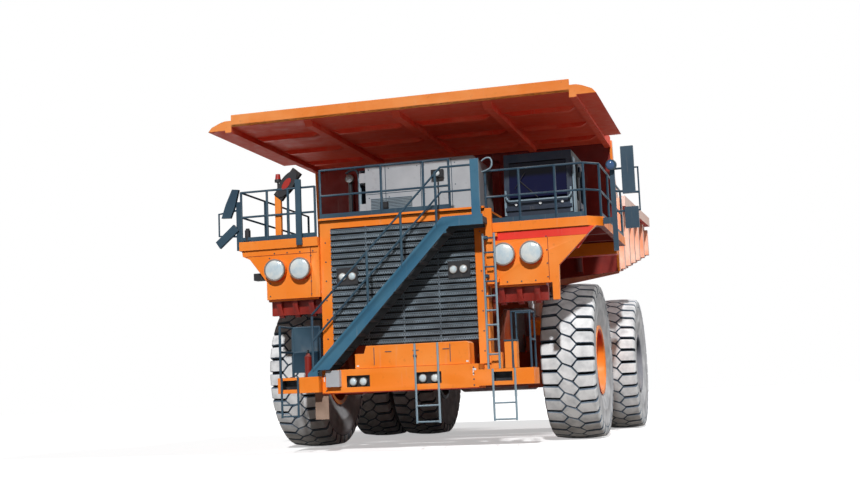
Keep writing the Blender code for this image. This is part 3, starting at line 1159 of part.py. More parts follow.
def make_cab():
    base = DECK_TOP_Z + GAP
    wall = CAB_WALL
    front, back, top = CAB_FRONT_Y, CAB_BACK_Y, CAB_TOP_Z

    def side_outline(inset):
        return [(front + inset, base + inset), (back - inset, base + inset), (back - inset, top - inset),
                (front + CAB_BROW + inset, top - inset), (front + inset, WINDOW_LOW_Z)]
    shell = slab('X', side_outline(0), CAB_IN_X, CAB_OUT_X)
    hollow = slab('X', side_outline(wall), CAB_IN_X + wall, CAB_OUT_X - wall)
    edge = WINDOW_EDGE
    x0, x1 = CAB_IN_X + edge, CAB_OUT_X - edge
    low, high = WINDOW_LOW_Z, WINDOW_HIGH_Z
    cutters = [
        hollow,
        box((x0, front - OVERRUN, low), (x1, front + CAB_BROW + wall + OVERRUN, high)),
        box((x0, back - wall - OVERRUN, low), (x1, back + OVERRUN, high)),
        box((CAB_IN_X - OVERRUN, front + edge + CAB_BROW, low),
            (CAB_IN_X + wall + OVERRUN, back - edge, high)),
        box((CAB_OUT_X - wall - OVERRUN, front + edge + CAB_BROW, low),
            (CAB_OUT_X + OVERRUN, DOOR_FRONT_Y - edge, high)),
        box((CAB_OUT_X - wall - OVERRUN, DOOR_FRONT_Y, DOOR_LOW_Z),
            (CAB_OUT_X + OVERRUN, DOOR_BACK_Y, DOOR_HIGH_Z)),
    ]
    shell = cut(shell, *cutters)
    hinge_x, hinge_y = CAB_OUT_X + HINGE_KNUCKLE_R + ROOM / 2, DOOR_FRONT_Y - 0.02
    knuckles, leaves = [], []
    heights = (DOOR_LOW_Z + 0.25, DOOR_HIGH_Z - 0.35)
    for z in heights:
        knuckles.append(rod((hinge_x, hinge_y, z), (hinge_x, hinge_y, z + HINGE_KNUCKLE_H),
                            HINGE_KNUCKLE_R, 12))
        knuckles.append(box((CAB_OUT_X - INSET, hinge_y - 0.09, z),
                            (CAB_OUT_X + HINGE_KNUCKLE_R, hinge_y, z + HINGE_KNUCKLE_H)))
        door_low = z + HINGE_KNUCKLE_H + GAP
        leaves.append(rod((hinge_x, hinge_y, door_low), (hinge_x, hinge_y, door_low + HINGE_KNUCKLE_H),
                          HINGE_KNUCKLE_R, 12))
        leaves.append(box((CAB_OUT_X + ROOM, hinge_y, door_low),
                          (CAB_OUT_X + HINGE_KNUCKLE_R, DOOR_FRONT_Y + 0.10,
                           door_low + HINGE_KNUCKLE_H)))
    keep(weld(shell, *knuckles), 'cab_shell', 'black_paint')

    empty = new_empty('cab_door_hinge', (hinge_x, hinge_y, base), DATUM)
    room = ROOM
    door = box((CAB_OUT_X - DOOR_T, DOOR_FRONT_Y + room, DOOR_LOW_Z + room),
               (CAB_OUT_X + 0.012, DOOR_BACK_Y - room, DOOR_HIGH_Z - room))
    window = box((CAB_OUT_X - DOOR_T - OVERRUN, DOOR_FRONT_Y + 0.10, low),
                 (CAB_OUT_X + OVERRUN, DOOR_BACK_Y - 0.10, high - 0.06))
    door = weld(cut(door, window), *leaves)
    keep(door, 'cab_door', 'orange_paint', empty)

    gx0, gx1 = CAB_IN_X + wall + GAP, CAB_OUT_X - wall - GAP
    gy0, gy1 = front + CAB_BROW + wall + GAP, back - wall - GAP
    door_edge = DOOR_FRONT_Y - 0.05
    t = GLASS_T
    outline = [(gx1, door_edge), (gx1, gy0), (gx0, gy0), (gx0, gy1), (gx1, gy1), (gx1, gy1 - t),
               (gx0 + t, gy1 - t), (gx0 + t, gy0 + t), (gx1 - t, gy0 + t), (gx1 - t, door_edge)]
    keep(slab('Z', outline, low - 0.06, high + 0.05), 'cab_glass', 'cab_glass')

    floor = base + wall + GAP
    seat_x, seat_y = (CAB_IN_X + CAB_OUT_X) / 2, -0.25
    parts = [box((seat_x - 0.26, seat_y - 0.26, floor + 0.34), (seat_x + 0.26, seat_y + 0.28, floor + 0.48)),
             box((seat_x - 0.25, seat_y + 0.18, floor + 0.40), (seat_x + 0.25, seat_y + 0.32, floor + 1.15)),
             rod((seat_x, seat_y, floor), (seat_x, seat_y, floor + 0.40), 0.16, 12)]
    mat = box((gx0 + 0.06, gy0 + 0.04, floor), (gx1 - 0.06, seat_y + 0.40, floor + 0.03))
    dash = slab('X', [(gy0 + 0.04, floor), (gy0 + 0.30, floor), (gy0 + 0.46, floor + 0.62),
                      (gy0 + 0.40, floor + 0.72), (gy0 + 0.04, floor + 0.66)],
                gx0 + 0.06, gx1 - 0.06)
    wheel = turned([(-0.012, 0), (-0.012, 0.19), (0.012, 0.21), (0.012, 0)], (0, 0, 0), 16)
    wheel.data.transform(Matrix.Translation((seat_x, gy0 + 0.52, floor + 0.83))
                         @ Matrix.Rotation(math.radians(65), 4, 'X') @ Matrix.Rotation(
                             math.radians(90), 4, 'Y'))
    column = rod((seat_x, gy0 + 0.38, floor + 0.55), (seat_x, gy0 + 0.52, floor + 0.83), 0.03)
    keep(weld(mat, dash, wheel, column, *parts), 'cab_interior', 'seat_cloth')


def make_cabinet():
    base = CENTRE_DECK_TOP_Z + GAP
    c = CABINET_CHAMFER
    outline = [(CABINET_RIGHT_X, base), (CABINET_LEFT_X, base), (CABINET_LEFT_X, CABINET_TOP_Z - c),
               (CABINET_LEFT_X - c, CABINET_TOP_Z), (CABINET_RIGHT_X, CABINET_TOP_Z)]
    cabinet = slab('Y', outline, CABINET_FRONT_Y, CABINET_BACK_Y)
    blocks = [box((CABINET_RIGHT_X - 0.18, CABINET_FRONT_Y + 0.1, z), (CABINET_RIGHT_X + INSET,
                                                                     CABINET_FRONT_Y + 0.6, z + 0.24))
              for z in (6.02, 5.30)]
    keep(weld(cabinet, *blocks), 'control_cabinet', 'grey_paint')


def make_tanks():
    for side, name, outer in ((1, 'fuel_tank', TANK_OUT_X), (-1, 'hydraulic_tank', OIL_TANK_OUT_X)):
        r = TANK_ROUND
        y0, y1, z0, z1 = TANK_FRONT_Y, TANK_BACK_Y, TANK_LOW_Z, TANK_TOP_Z
        outline = []
        for cy, cz, start in ((y0 + r, z0 + r, 180), (y1 - r, z0 + r, 270), (y1 - r, z1 - r, 0),
                              (y0 + r, z1 - r, 90)):
            outline += circle((cy, cz), r, start, start + 90, 5)
        ends = (side * TANK_IN_X, side * outer)
        keep(slab('X', outline, min(ends), max(ends)), name, 'orange_paint')


def make_mirrors():
    y = DECK_FRONT_Y + 0.22
    post_x = DECK_LEFT_X + 0.24
    reach = MIRROR_REACH - RAIL_TUBE_R
    parts = [
        box((post_x - 0.05, y - 0.03, 3.92), (post_x + 0.05, y + 0.03, 5.76)),
        pipe([(post_x, y, 5.62), (reach, y, 5.62), (reach, y, 4.73), (post_x, y, 4.73)], RAIL_TUBE_R),
        pipe([(post_x, y, 5.16), (reach, y, 5.10)], RAIL_TUBE_R),
        box((4.78, y - 0.11, 5.08), (5.04, y - 0.01, 6.06)),
        box((4.80, y - 0.09, 4.36), (5.08, y - 0.01, 4.80)),
        box((DECK_LEFT_X + GAP, y - 0.02, DECK_LOW_Z + 0.04), (post_x + 0.03, y + 0.10, DECK_TOP_Z - 0.04)),
    ]
    keep(weld(*parts), 'mirror_left', 'slate_paint')
    post_x = DECK_RIGHT_X - 0.08
    reach = -WING_X + 0.10
    y = DECK_FRONT_Y + 0.20
    parts = [
        box((post_x - 0.05, y - 0.03, 4.50), (post_x + 0.05, y + 0.03, 5.60)),
        pipe([(post_x, y, 5.42), (reach, y, 5.36), (reach, y, 4.86), (post_x, y, 4.82)], RAIL_TUBE_R),
        slab('Y', RIGHT_MIRROR_HIGH, y - MIRROR_OUT, y),
        slab('Y', RIGHT_MIRROR_LOW, y - MIRROR_OUT, y),
        box((post_x, y - 0.02, DECK_LOW_Z + 0.04), (DECK_RIGHT_X - GAP, y + 0.10, DECK_TOP_Z - 0.04)),
    ]
    keep(weld(*parts), 'mirror_right', 'slate_paint')


def make_canopy():
    low, top = CANOPY_LOW_Z, CANOPY_LOW_Z + CANOPY_T
    beam_in = LIP_HALF_X
    half = [(beam_in, low), (beam_in, SIDE_BEAM_LOW_Z), (SIDE_BEAM_X, SIDE_BEAM_LOW_Z),
            (SIDE_BEAM_X, WING_LOW_Z), (WING_X, WING_LOW_Z), (WING_X - 0.085, WING_LOW_Z + 0.10),
            (WING_X - 0.295, WING_LOW_Z + 0.19), (SIDE_BEAM_X, WING_LOW_Z + 0.22),
            (beam_in, WING_LOW_Z + 0.22), (beam_in, top)]
    outline = half + [(-x, z) for x, z in reversed(half)]
    roof = slab('Y', outline, CANOPY_FRONT_Y, WING_BACK_Y)
    tail = box((-BED_HALF_X + 0.02, WING_BACK_Y - INSET, low), (BED_HALF_X - 0.02, CANOPY_BACK_Y, top))
    lip = box((-LIP_HALF_X - 0.01, CANOPY_FRONT_Y, low), (LIP_HALF_X + 0.01, CANOPY_FRONT_Y + LIP_T, LIP_TOP_Z))
    parts = [tail, lip]
    for x in (-2.03, 0, 2.03):
        parts.append(box((x - 0.09, CANOPY_FRONT_Y + 0.10, low - RIB_DEPTH),
                         (x + 0.09, FRONT_WALL_TOP_Y - 0.20, low + INSET)))
    for y in (-2.10, -0.40, 1.20):
        parts.append(box((-beam_in - INSET, y - 0.08, low - RIB_DEPTH * 0.8),
                         (beam_in + INSET, y + 0.08, low + INSET)))
    keep(weld(roof, *parts), 'body_canopy', 'orange_paint', DUMP)


def wall_y(z):
    """The front wall's front face leans back as it goes down."""
    share = (CANOPY_LOW_Z - z) / (CANOPY_LOW_Z - FRONT_WALL_FOOT_Z)
    return FRONT_WALL_TOP_Y + share * (FRONT_WALL_FOOT_Y - FRONT_WALL_TOP_Y)


def make_front_wall():
    """The wall behind the decks: its foot follows the dished floor, and it leans back downwards."""
    top, foot = CANOPY_LOW_Z - GAP, FRONT_WALL_FOOT_Z
    edge = BED_HALF_X - GAP
    side_foot = side_low(FLOOR_FRONT_Y)
    wall = slab('Y', [(-edge, side_foot), (0, foot), (edge, side_foot), (edge, top), (-edge, top)],
                0, FRONT_WALL_T)
    lean = Matrix.Identity(4)
    lean[1][2] = (wall_y(foot) - wall_y(top)) / (foot - top)
    lean[1][3] = wall_y(0)
    wall.data.transform(lean)
    low = 4.0
    ribs = []
    for x in (-3.0, -2.0, -1.0, 0, 1.0, 2.0, 3.0):
        ribs.append(slab('X', [(wall_y(top) + INSET, top - 0.2), (wall_y(top) - 0.06, top - 0.3),
                               (wall_y(low) - 0.10, low + 0.05), (wall_y(low) + INSET, low)],
                         x - 0.08, x + 0.08))
    keep(weld(wall, *ribs), 'body_front_wall', 'orange_paint', DUMP)


def side_low(y):
    """The side's lower edge, which is the floor's edge too."""
    return FLOOR_FRONT_Z + (TAIL_LOW_Z - FLOOR_FRONT_Z) * (y - FLOOR_FRONT_Y) / (TAIL_Y - FLOOR_FRONT_Y)


def make_sides():
    top = CANOPY_LOW_Z + CANOPY_T
    corner = WING_BACK_Y + GAP
    outline = [(wall_y(FLOOR_FRONT_Z), side_low(FLOOR_FRONT_Y)), (TAIL_Y, TAIL_LOW_Z),
               (TAIL_Y + TAIL_BULGE, (TAIL_LOW_Z + SIDE_TAIL_TOP_Z) / 2), (TAIL_Y, SIDE_TAIL_TOP_Z),
               (SIDE_STEP_Y, SIDE_FRONT_TOP_Z), (SIDE_STEP_Y - SIDE_RISE, SIDE_FRONT_TOP_Z + SIDE_RISE),
               (CANOPY_BACK_Y, top), (corner, top), (corner, CANOPY_LOW_Z)]
    rail = [(TAIL_Y + INSET, SIDE_TAIL_TOP_Z + INSET), (SIDE_STEP_Y, SIDE_FRONT_TOP_Z + INSET),
            (SIDE_STEP_Y, SIDE_FRONT_TOP_Z - TOP_RAIL_H_Z), (TAIL_Y + INSET, SIDE_TAIL_TOP_Z - TOP_RAIL_H_Z)]
    for side, name in SIDES:
        ends = (side * BED_HALF_X, side * (BED_HALF_X + SIDE_T))
        panel = slab('X', outline, min(ends), max(ends))
        outer = (side * (BED_HALF_X + INSET), side * TOP_RAIL_OUT_X)
        parts = [slab('X', rail, min(outer), max(outer))]
        rib_ends = (side * (BED_HALF_X + SIDE_T - INSET), side * (BED_HALF_X + SIDE_T + SIDE_RIB_OUT))
        for y in (2.75, 4.10, 5.45, 6.80, 8.20, 9.70):
            z0 = side_low(y) + 0.04
            parts.append(box((min(rib_ends), y - SIDE_RIB_HALF, z0),
                             (max(rib_ends), y + SIDE_RIB_HALF, SIDE_FRONT_TOP_Z - 0.1)))
        keep(weld(panel, *parts), 'body_side_' + name, 'dusty_white', DUMP)


def make_floor():
    """A dished plate on cross ribs and two stringers, with the hinge ears at the stringers."""
    edge = BED_HALF_X - GAP
    slope = (TAIL_LOW_Z - FLOOR_FRONT_Z) / (TAIL_Y - FLOOR_FRONT_Y)
    y0 = wall_y(FRONT_WALL_FOOT_Z) + FRONT_WALL_T + GAP
    section = [(-edge, 0), (0, -FLOOR_DISH), (edge, 0), (edge, -FLOOR_T), (0, -FLOOR_DISH - FLOOR_T),
               (-edge, -FLOOR_T)]
    lift = FLOOR_T + 0.02
    plate = slab('Y', section, y0, TAIL_Y - 0.01)
    shear = Matrix.Identity(4)
    shear[2][1] = slope
    shear[2][3] = side_low(0) + lift
    plate.data.transform(shear)
    parts = []
    for y in (2.75, 3.75, 5.00, 6.30, 7.60, 8.80):
        z = side_low(y) + lift - FLOOR_T / 2
        rib = [(-edge, z), (0, z - FLOOR_DISH), (edge, z), (edge, z - 0.12), (1.5, z - 0.50),
               (-1.5, z - 0.50), (-edge, z - 0.12)]
        parts.append(slab('Y', rib, y - 0.07, y + 0.07))
    under = -FLOOR_DISH + lift - FLOOR_T / 2
    heel = HINGE_Y + 0.02
    for side, _ in SIDES:
        ends = (side * RAIL_IN, side * STRINGER_OUT_X)
        outline = [(STRINGER_FRONT_Y, STRINGER_LOW_Z), (heel, STRINGER_LOW_Z),
                   (heel + 1.05, side_low(heel + 1.05) + under), (STRINGER_FRONT_Y, side_low(STRINGER_FRONT_Y) + under)]
        parts.append(slab('X', outline, min(ends), max(ends)))
        ears = (side * EAR_IN_X, side * EAR_OUT_X)
        ear = [(HINGE_Y + 0.45, 4.0), (HINGE_Y - 0.45, 4.0)]
        ear += circle((HINGE_Y, HINGE_Z), EAR_R, 180, 360, 9)
        ear = cut(slab('X', ear, min(ears), max(ears)),
                  rod((min(ears) - OVERRUN, HINGE_Y, HINGE_Z), (max(ears) + OVERRUN, HINGE_Y, HINGE_Z),
                      HINGE_PIN_R + 0.006, 20))
        parts.append(ear)
        boss = (side * (STRINGER_OUT_X - INSET), side * (HOIST_X - HOIST_EYE_HALF - GAP))
        parts.append(rod((boss[0], HOIST_EYE_Y, HOIST_EYE_Z), (boss[1], HOIST_EYE_Y, HOIST_EYE_Z),
                         0.10, 16))
    keep(weld(plate, *parts), 'body_floor', 'orange_paint', DUMP)


def make_hoists():
    foot = Vector((0, HOIST_FOOT_Y, HOIST_FOOT_Z))
    eye = Vector((0, HOIST_EYE_Y, HOIST_EYE_Z))
    closed = (eye - foot).length
    lean = math.atan2(eye.y - foot.y, eye.z - foot.z)
    bore = HOIST_STAGE_R + GAP
    stage_bore = HOIST_ROD_R + GAP
    stage_low = BARREL_FLOOR + 0.03
    rod_low = stage_low + 0.12
    # (along the cylinder, radius)
    barrel = [(0.05, 0), (0.05, HOIST_NECK_R), (BARREL_FOOT, HOIST_NECK_R),
              (BARREL_FOOT, HOIST_BARREL_R), (BARREL_LENGTH, HOIST_BARREL_R), (BARREL_LENGTH, bore),
              (BARREL_FLOOR, bore), (BARREL_FLOOR, 0)]
    stage = [(stage_low, 0), (stage_low, HOIST_STAGE_R), (STAGE_END, HOIST_STAGE_R),
             (STAGE_END, stage_bore), (rod_low - 0.02, stage_bore), (rod_low - 0.02, 0)]
    ram = [(rod_low, 0), (rod_low, HOIST_ROD_R), (closed - 0.05, HOIST_ROD_R), (closed - 0.05, 0)]
    for side, name in SIDES:
        x = side * HOIST_X
        turn = Matrix.Translation((x, HOIST_FOOT_Y, HOIST_FOOT_Z)) @ Matrix.Rotation(-lean, 4, 'X') \
            @ Matrix.Rotation(math.radians(-90), 4, 'Y')
        swing = new_empty('hoist_swing_' + name, (x, HOIST_FOOT_Y, HOIST_FOOT_Z), DATUM)
        pieces = []
        for profile in (barrel, stage, ram):
            piece = turned(profile, (0, 0, 0), 20)
            piece.data.transform(turn)
            pieces.append(piece)
        half = HOIST_EYE_HALF
        base_eye = rod((x - half, HOIST_FOOT_Y, HOIST_FOOT_Z), (x + half, HOIST_FOOT_Y, HOIST_FOOT_Z),
                       HOIST_EYE_R, 20)
        top_eye = rod((x - half, HOIST_EYE_Y, HOIST_EYE_Z), (x + half, HOIST_EYE_Y, HOIST_EYE_Z),
                      HOIST_EYE_R, 20)
        keep(weld(pieces[0], base_eye), 'hoist_barrel_' + name, 'black_paint', swing)
        keep(pieces[1], 'hoist_stage_' + name, 'bare_steel', swing)
        keep(weld(pieces[2], top_eye), 'hoist_rod_' + name, 'bare_steel', swing)


make_tyres()
make_front_rims()
make_rear_rims()
make_rear_axle()
make_suspension()
make_arms_and_knuckles()
make_tie_rod()
make_main_frame()
make_bumper()
make_bumper_box()
make_radiator()
make_grille()
make_engine()
make_decks()
make_cross_beam()
make_lamp_brackets()
make_stairs()
make_railings()
make_platform_rails()
make_ladders()
make_cab()
make_cabinet()
make_tanks()
make_mirrors()
make_canopy()
make_front_wall()
make_sides()
make_floor()
make_hoists()
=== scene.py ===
# %% [markdown]
# # A mining dump truck, dressed for its portrait
# The truck arrives as plain solids that already have the right size and place. This lesson gives
# them paint, dust, rubber and glass, and adds the fine things that a solid leaves out: tread
# blocks, studs, lenses, louvres, seams, pipes and bolts. Every length is in metres.

# %% Load the truck as a fixed frame
import json
import math

import bmesh
import bpy
from mathutils import Matrix, Vector

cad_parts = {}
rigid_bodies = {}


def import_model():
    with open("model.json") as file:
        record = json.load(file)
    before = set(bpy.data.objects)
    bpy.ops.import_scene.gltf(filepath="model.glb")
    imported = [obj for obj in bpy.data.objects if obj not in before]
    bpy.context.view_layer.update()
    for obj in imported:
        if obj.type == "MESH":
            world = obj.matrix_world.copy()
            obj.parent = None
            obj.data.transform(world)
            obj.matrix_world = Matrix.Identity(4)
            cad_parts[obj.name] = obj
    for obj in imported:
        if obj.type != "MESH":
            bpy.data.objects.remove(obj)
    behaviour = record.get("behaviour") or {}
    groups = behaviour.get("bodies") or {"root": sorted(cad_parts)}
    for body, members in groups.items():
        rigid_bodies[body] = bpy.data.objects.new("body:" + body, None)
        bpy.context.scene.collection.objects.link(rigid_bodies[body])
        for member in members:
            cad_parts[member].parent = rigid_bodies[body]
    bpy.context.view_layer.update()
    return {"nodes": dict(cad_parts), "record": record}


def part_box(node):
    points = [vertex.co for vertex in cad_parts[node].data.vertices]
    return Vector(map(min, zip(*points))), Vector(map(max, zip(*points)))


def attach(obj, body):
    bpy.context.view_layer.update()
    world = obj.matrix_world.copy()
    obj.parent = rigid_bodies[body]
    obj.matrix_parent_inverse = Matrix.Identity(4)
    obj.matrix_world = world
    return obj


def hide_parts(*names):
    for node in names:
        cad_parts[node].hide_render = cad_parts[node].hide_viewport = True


for leftover in list(bpy.data.objects):
    bpy.data.objects.remove(leftover)
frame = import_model()
nodes = frame["nodes"]
print("pieces that came with the frame:", len(nodes))

# %% [markdown]
# ## One measuring place for the whole truck
# A builder of such trucks measures from the ground under the middle of the front axle: X to the
# truck's left, Y to the back, Z up. The front tyres' boxes give that place, so nothing has to be
# typed twice. The functions below take truck measures, and a piece is moved to the frame once,
# when it is finished.

# %% Find the front axle and the wheels
left_low, left_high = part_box("front_tyre_left")
right_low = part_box("front_tyre_right")[0]
rear_low, rear_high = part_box("rear_tyre_outer_left")
twin_low, twin_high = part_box("rear_tyre_inner_left")
FRONT_AXLE = Vector(((left_high.x + right_low.x) / 2, (left_low.y + left_high.y) / 2, 0))
FRONT_WHEEL_X = (left_low.x + left_high.x) / 2 - FRONT_AXLE.x
REAR_OUTER_X = (rear_low.x + rear_high.x) / 2 - FRONT_AXLE.x
REAR_INNER_X = (twin_low.x + twin_high.x) / 2 - FRONT_AXLE.x
WHEELBASE = (rear_low.y + rear_high.y) / 2 - FRONT_AXLE.y
AXLE_Z = 1.777
SIDES = ((1, "left"), (-1, "right"))


def node_box(name):
    """The corners of a solid, in truck measures."""
    low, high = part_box(name)
    return low - FRONT_AXLE, high - FRONT_AXLE


print("front axle at", tuple(round(v, 4) for v in FRONT_AXLE), "wheelbase", round(WHEELBASE, 3))

# %% [markdown]
# ## The camera
# The picture was taken from low down, well in front of the truck and a little to its left, with a
# lens of normal length. A camera looks along its own -Z, so its matrix is built from three
# directions: right, up and backwards. The horizon in the picture leans a little, hence the roll.

# %% Place the camera
CAMERA_AT = (7.372, -28.019, 1.180)
YAW, PITCH, ROLL = 0.265696, 0.121328, 0.0405922
SENSOR_MM, LENS_MM, FARTHEST = 36, 50.66, 400
ahead = Vector((-math.sin(YAW) * math.cos(PITCH), math.cos(YAW) * math.cos(PITCH), math.sin(PITCH)))
level = Vector((math.cos(YAW), math.sin(YAW), 0))
upward = level.cross(ahead)
right_axis = level * math.cos(ROLL) - upward * math.sin(ROLL)
up_axis = level * math.sin(ROLL) + upward * math.cos(ROLL)
camera = bpy.data.objects.new("camera", bpy.data.cameras.new("camera"))
camera.data.sensor_width = SENSOR_MM
camera.data.lens = LENS_MM
camera.data.clip_end = FARTHEST
bpy.context.scene.collection.objects.link(camera)
turn = Matrix((right_axis, up_axis, -ahead)).transposed().to_4x4()
camera.matrix_world = Matrix.Translation(FRONT_AXLE + Vector(CAMERA_AT)) @ turn
bpy.context.scene.camera = camera
bpy.context.scene.view_settings.view_transform = "Standard"
print("camera", camera.data.lens, "mm, sensor", camera.data.sensor_width, "mm")

# %% [markdown]
# ## Colours
# A colour picked from a picture is a screen colour. Shaders want linear light, so `screen`
# converts one, and the palette can then be read with the picture beside it.


# %% Colours of the truck
def screen(red, green, blue):
    """A screen colour, 0 to 255 a channel, as the linear colour that a shader takes."""
    channels = []
    for value in (red, green, blue):
        share = value / 255
        channels.append(share / 12.92 if share <= 0.04045 else ((share + 0.055) / 1.055) ** 2.4)
    return (*channels, 1.0)


ORANGE = screen(241, 126, 20)
ORANGE_FADED = screen(244, 142, 54)
# Painted shade that the undersides of the orange pieces are mixed toward.
ORANGE_PAINTED_SHADE = screen(196, 42, 24)
# A dark red: the paint of the extinguisher and the fascias' seams, and painted shade on the shelves
# behind the fascias, under the side decks and on the body's front wall.
RED_SHADE = screen(112, 18, 9)
SLATE = screen(40, 92, 120)
# Painted shade that the undersides of the slate pieces are mixed toward.
SLATE_PAINTED_SHADE = screen(34, 62, 84)
ROCK_DUST = screen(196, 184, 172)
# Soot for stains, and also the painted shade on the undersides of the black pieces and the louvre lips.
SOOT_AND_SHADE = screen(24, 20, 20)
print("palette ready")

# %% [markdown]
# ## A paint that has lived outdoors
# Machine enamel is never one colour. The sun fades it in broad clouds, oil and soot leave small
# stains, and rock dust settles on whatever faces up. Each of those is one layer of noise or one
# reading of the surface's own direction, mixed over the one below. All of it is worked out from
# Object coordinates, so it stays on the steel when a piece moves.


# %% Small helpers for node materials
MIX_UNDER, MIX_OVER, MIX_RESULT = 6, 7, 2      # the colour sockets of a Mix node


def new_finish(name):
    """An empty material with its Principled shader, its nodes and a way to link them."""
    material = bpy.data.materials.new(name)
    material.use_nodes = True
    return material, material.node_tree, material.node_tree.nodes["Principled BSDF"]


def join(tree, source, target):
    """Links two sockets."""
    tree.links.new(source, target)


def clouds(tree, scale, detail=5.0, stretch=(1, 1, 1)):
    """Noise over the piece's own coordinates, from 0 to 1."""
    place = tree.nodes.new("ShaderNodeTexCoord")
    mapping = tree.nodes.new("ShaderNodeMapping")
    mapping.inputs["Scale"].default_value = stretch
    texture = tree.nodes.new("ShaderNodeTexNoise")
    texture.inputs["Scale"].default_value = scale
    texture.inputs["Detail"].default_value = detail
    join(tree, place.outputs["Object"], mapping.inputs["Vector"])
    join(tree, mapping.outputs["Vector"], texture.inputs["Vector"])
    return texture.outputs["Fac"]


def spread(tree, source, low, high, to_low=0.0, to_high=1.0):
    """Turns low..high of a value into to_low..to_high, and keeps it there."""
    node = tree.nodes.new("ShaderNodeMapRange")
    node.inputs["From Min"].default_value = low
    node.inputs["From Max"].default_value = high
    node.inputs["To Min"].default_value = to_low
    node.inputs["To Max"].default_value = to_high
    join(tree, source, node.inputs["Value"])
    return node.outputs["Result"]


def product(tree, one, other):
    """One value times another, or times a plain number."""
    node = tree.nodes.new("ShaderNodeMath")
    node.operation = "MULTIPLY"
    join(tree, one, node.inputs[0])
    if isinstance(other, float):
        node.inputs[1].default_value = other
    else:
        join(tree, other, node.inputs[1])
    return node.outputs["Value"]


def layer(tree, share, under, over):
    """Mixes the colour over on top of under, as far as share says. Each is a colour or a socket."""
    node = tree.nodes.new("ShaderNodeMix")
    node.data_type = "RGBA"
    join(tree, share, node.inputs["Factor"])
    for socket, colour in ((node.inputs[MIX_UNDER], under), (node.inputs[MIX_OVER], over)):
        if isinstance(colour, tuple):
            socket.default_value = colour
        else:
            join(tree, colour, socket)
    return node.outputs[MIX_RESULT]


def facing(tree, axis):
    """How far the surface faces along one of its own axes, from -1 to 1."""
    place = tree.nodes.new("ShaderNodeTexCoord")
    split = tree.nodes.new("ShaderNodeSeparateXYZ")
    join(tree, place.outputs["Normal"], split.inputs["Vector"])
    return split.outputs[axis]


def roughen(tree, shader, source, strength, depth):
    """Small unevenness of a surface, as bump. Forms that show in outline are geometry instead."""
    bump = tree.nodes.new("ShaderNodeBump")
    bump.inputs["Strength"].default_value = strength
    bump.inputs["Distance"].default_value = depth
    join(tree, source, bump.inputs["Height"])
    join(tree, bump.outputs["Normal"], shader.inputs["Normal"])


print("node helpers ready")

# %% [markdown]
# ## The enamel itself
# One function serves orange, slate and grey, because a paint shop works the same way with each:
# the coat, its faded clouds, its stains, the dust on top, and a gloss that breaks up where it is
# dirty. Faces that point down are mixed toward a darker colour, a deeper red on the orange
# pieces: that is painted shade, for the shade under things.


# %% Enamel
def enamel(name, coat, faded, under, dusty=0.5, gloss=0.38, stain=0.2):
    """Paint: faded clouds, soot stains, dusty streaks, painted shade on the underside and dust on top.
    """
    material, tree, shader = new_finish(name)
    fade = spread(tree, clouds(tree, 0.9), 0.42, 0.68)
    colour = layer(tree, fade, coat, faded)
    stains = product(tree, spread(tree, clouds(tree, 9.0, 8.0), 0.62, 0.80), stain)
    colour = layer(tree, stains, colour, SOOT_AND_SHADE)
    streaks = spread(tree, clouds(tree, 3.0, 6.0, (4.0, 4.0, 0.35)), 0.62, 0.82, 0.0, 0.14)
    colour = layer(tree, streaks, colour, ROCK_DUST)
    # Faces that point down are mixed toward under: painted shade.
    below = spread(tree, facing(tree, "Z"), -0.25, -0.75)
    colour = layer(tree, below, colour, under)
    settled = spread(tree, facing(tree, "Z"), 0.35, 0.95)
    patchy = spread(tree, clouds(tree, 2.2, 7.0), 0.32, 0.62, 0.15, 1.0)
    colour = layer(tree, product(tree, product(tree, settled, patchy), dusty), colour, ROCK_DUST)
    join(tree, colour, shader.inputs["Base Color"])
    shine = spread(tree, clouds(tree, 5.0, 6.0), 0.3, 0.75, gloss, gloss + 0.3)
    join(tree, shine, shader.inputs["Roughness"])
    shader.inputs["Specular IOR Level"].default_value = 0.35
    roughen(tree, shader, clouds(tree, 14.0, 4.0), 0.12, 0.01)
    return material


orange_enamel = enamel("orange_enamel", ORANGE, ORANGE_FADED, ORANGE_PAINTED_SHADE)
# Dark red paint, and also painted shade on the shelves, the decks' undersides and the front wall.
red_enamel = enamel("red_shade_enamel", RED_SHADE, screen(140, 32, 18), screen(92, 14, 8), 0.3)
slate_enamel = enamel("slate_enamel", SLATE, screen(62, 108, 130), SLATE_PAINTED_SHADE, 0.35)
tube_enamel = enamel("slate_tube_enamel", screen(24, 52, 70), screen(44, 72, 88), SLATE_PAINTED_SHADE, 0.25)
grey_enamel = enamel("grey_enamel", screen(164, 167, 172), screen(184, 187, 190),
                     screen(120, 124, 130), 0.3, 0.45, 0.2)
black_enamel = enamel("black_enamel", screen(20, 20, 24), screen(34, 34, 38), SOOT_AND_SHADE, 0.12, 0.5, 0.0)
rim_enamel = enamel("rim_grey_enamel", screen(104, 108, 120), screen(136, 136, 142),
                    screen(70, 74, 84), 0.5, 0.6)
print("enamels:", len(bpy.data.materials))

# %% [markdown]
# ## Rubber, steel, glass and mesh
# Haul road dust turns a tyre pale grey wherever the ground polishes it. The grooves' floors are
# painted almost black and the blocks' sides a dark blue grey, both painted shade, so the tread has
# two finishes besides its pale tops and the sidewall one more. The load body's paint is pale,
# nearly white. The grille is expanded metal: a lattice of thin strands, drawn here by two crossing
# waves, with painted shade in the holes. The cab's glass is nearly black from outside, so it is a
# glossy dark blue that hides what is behind it.


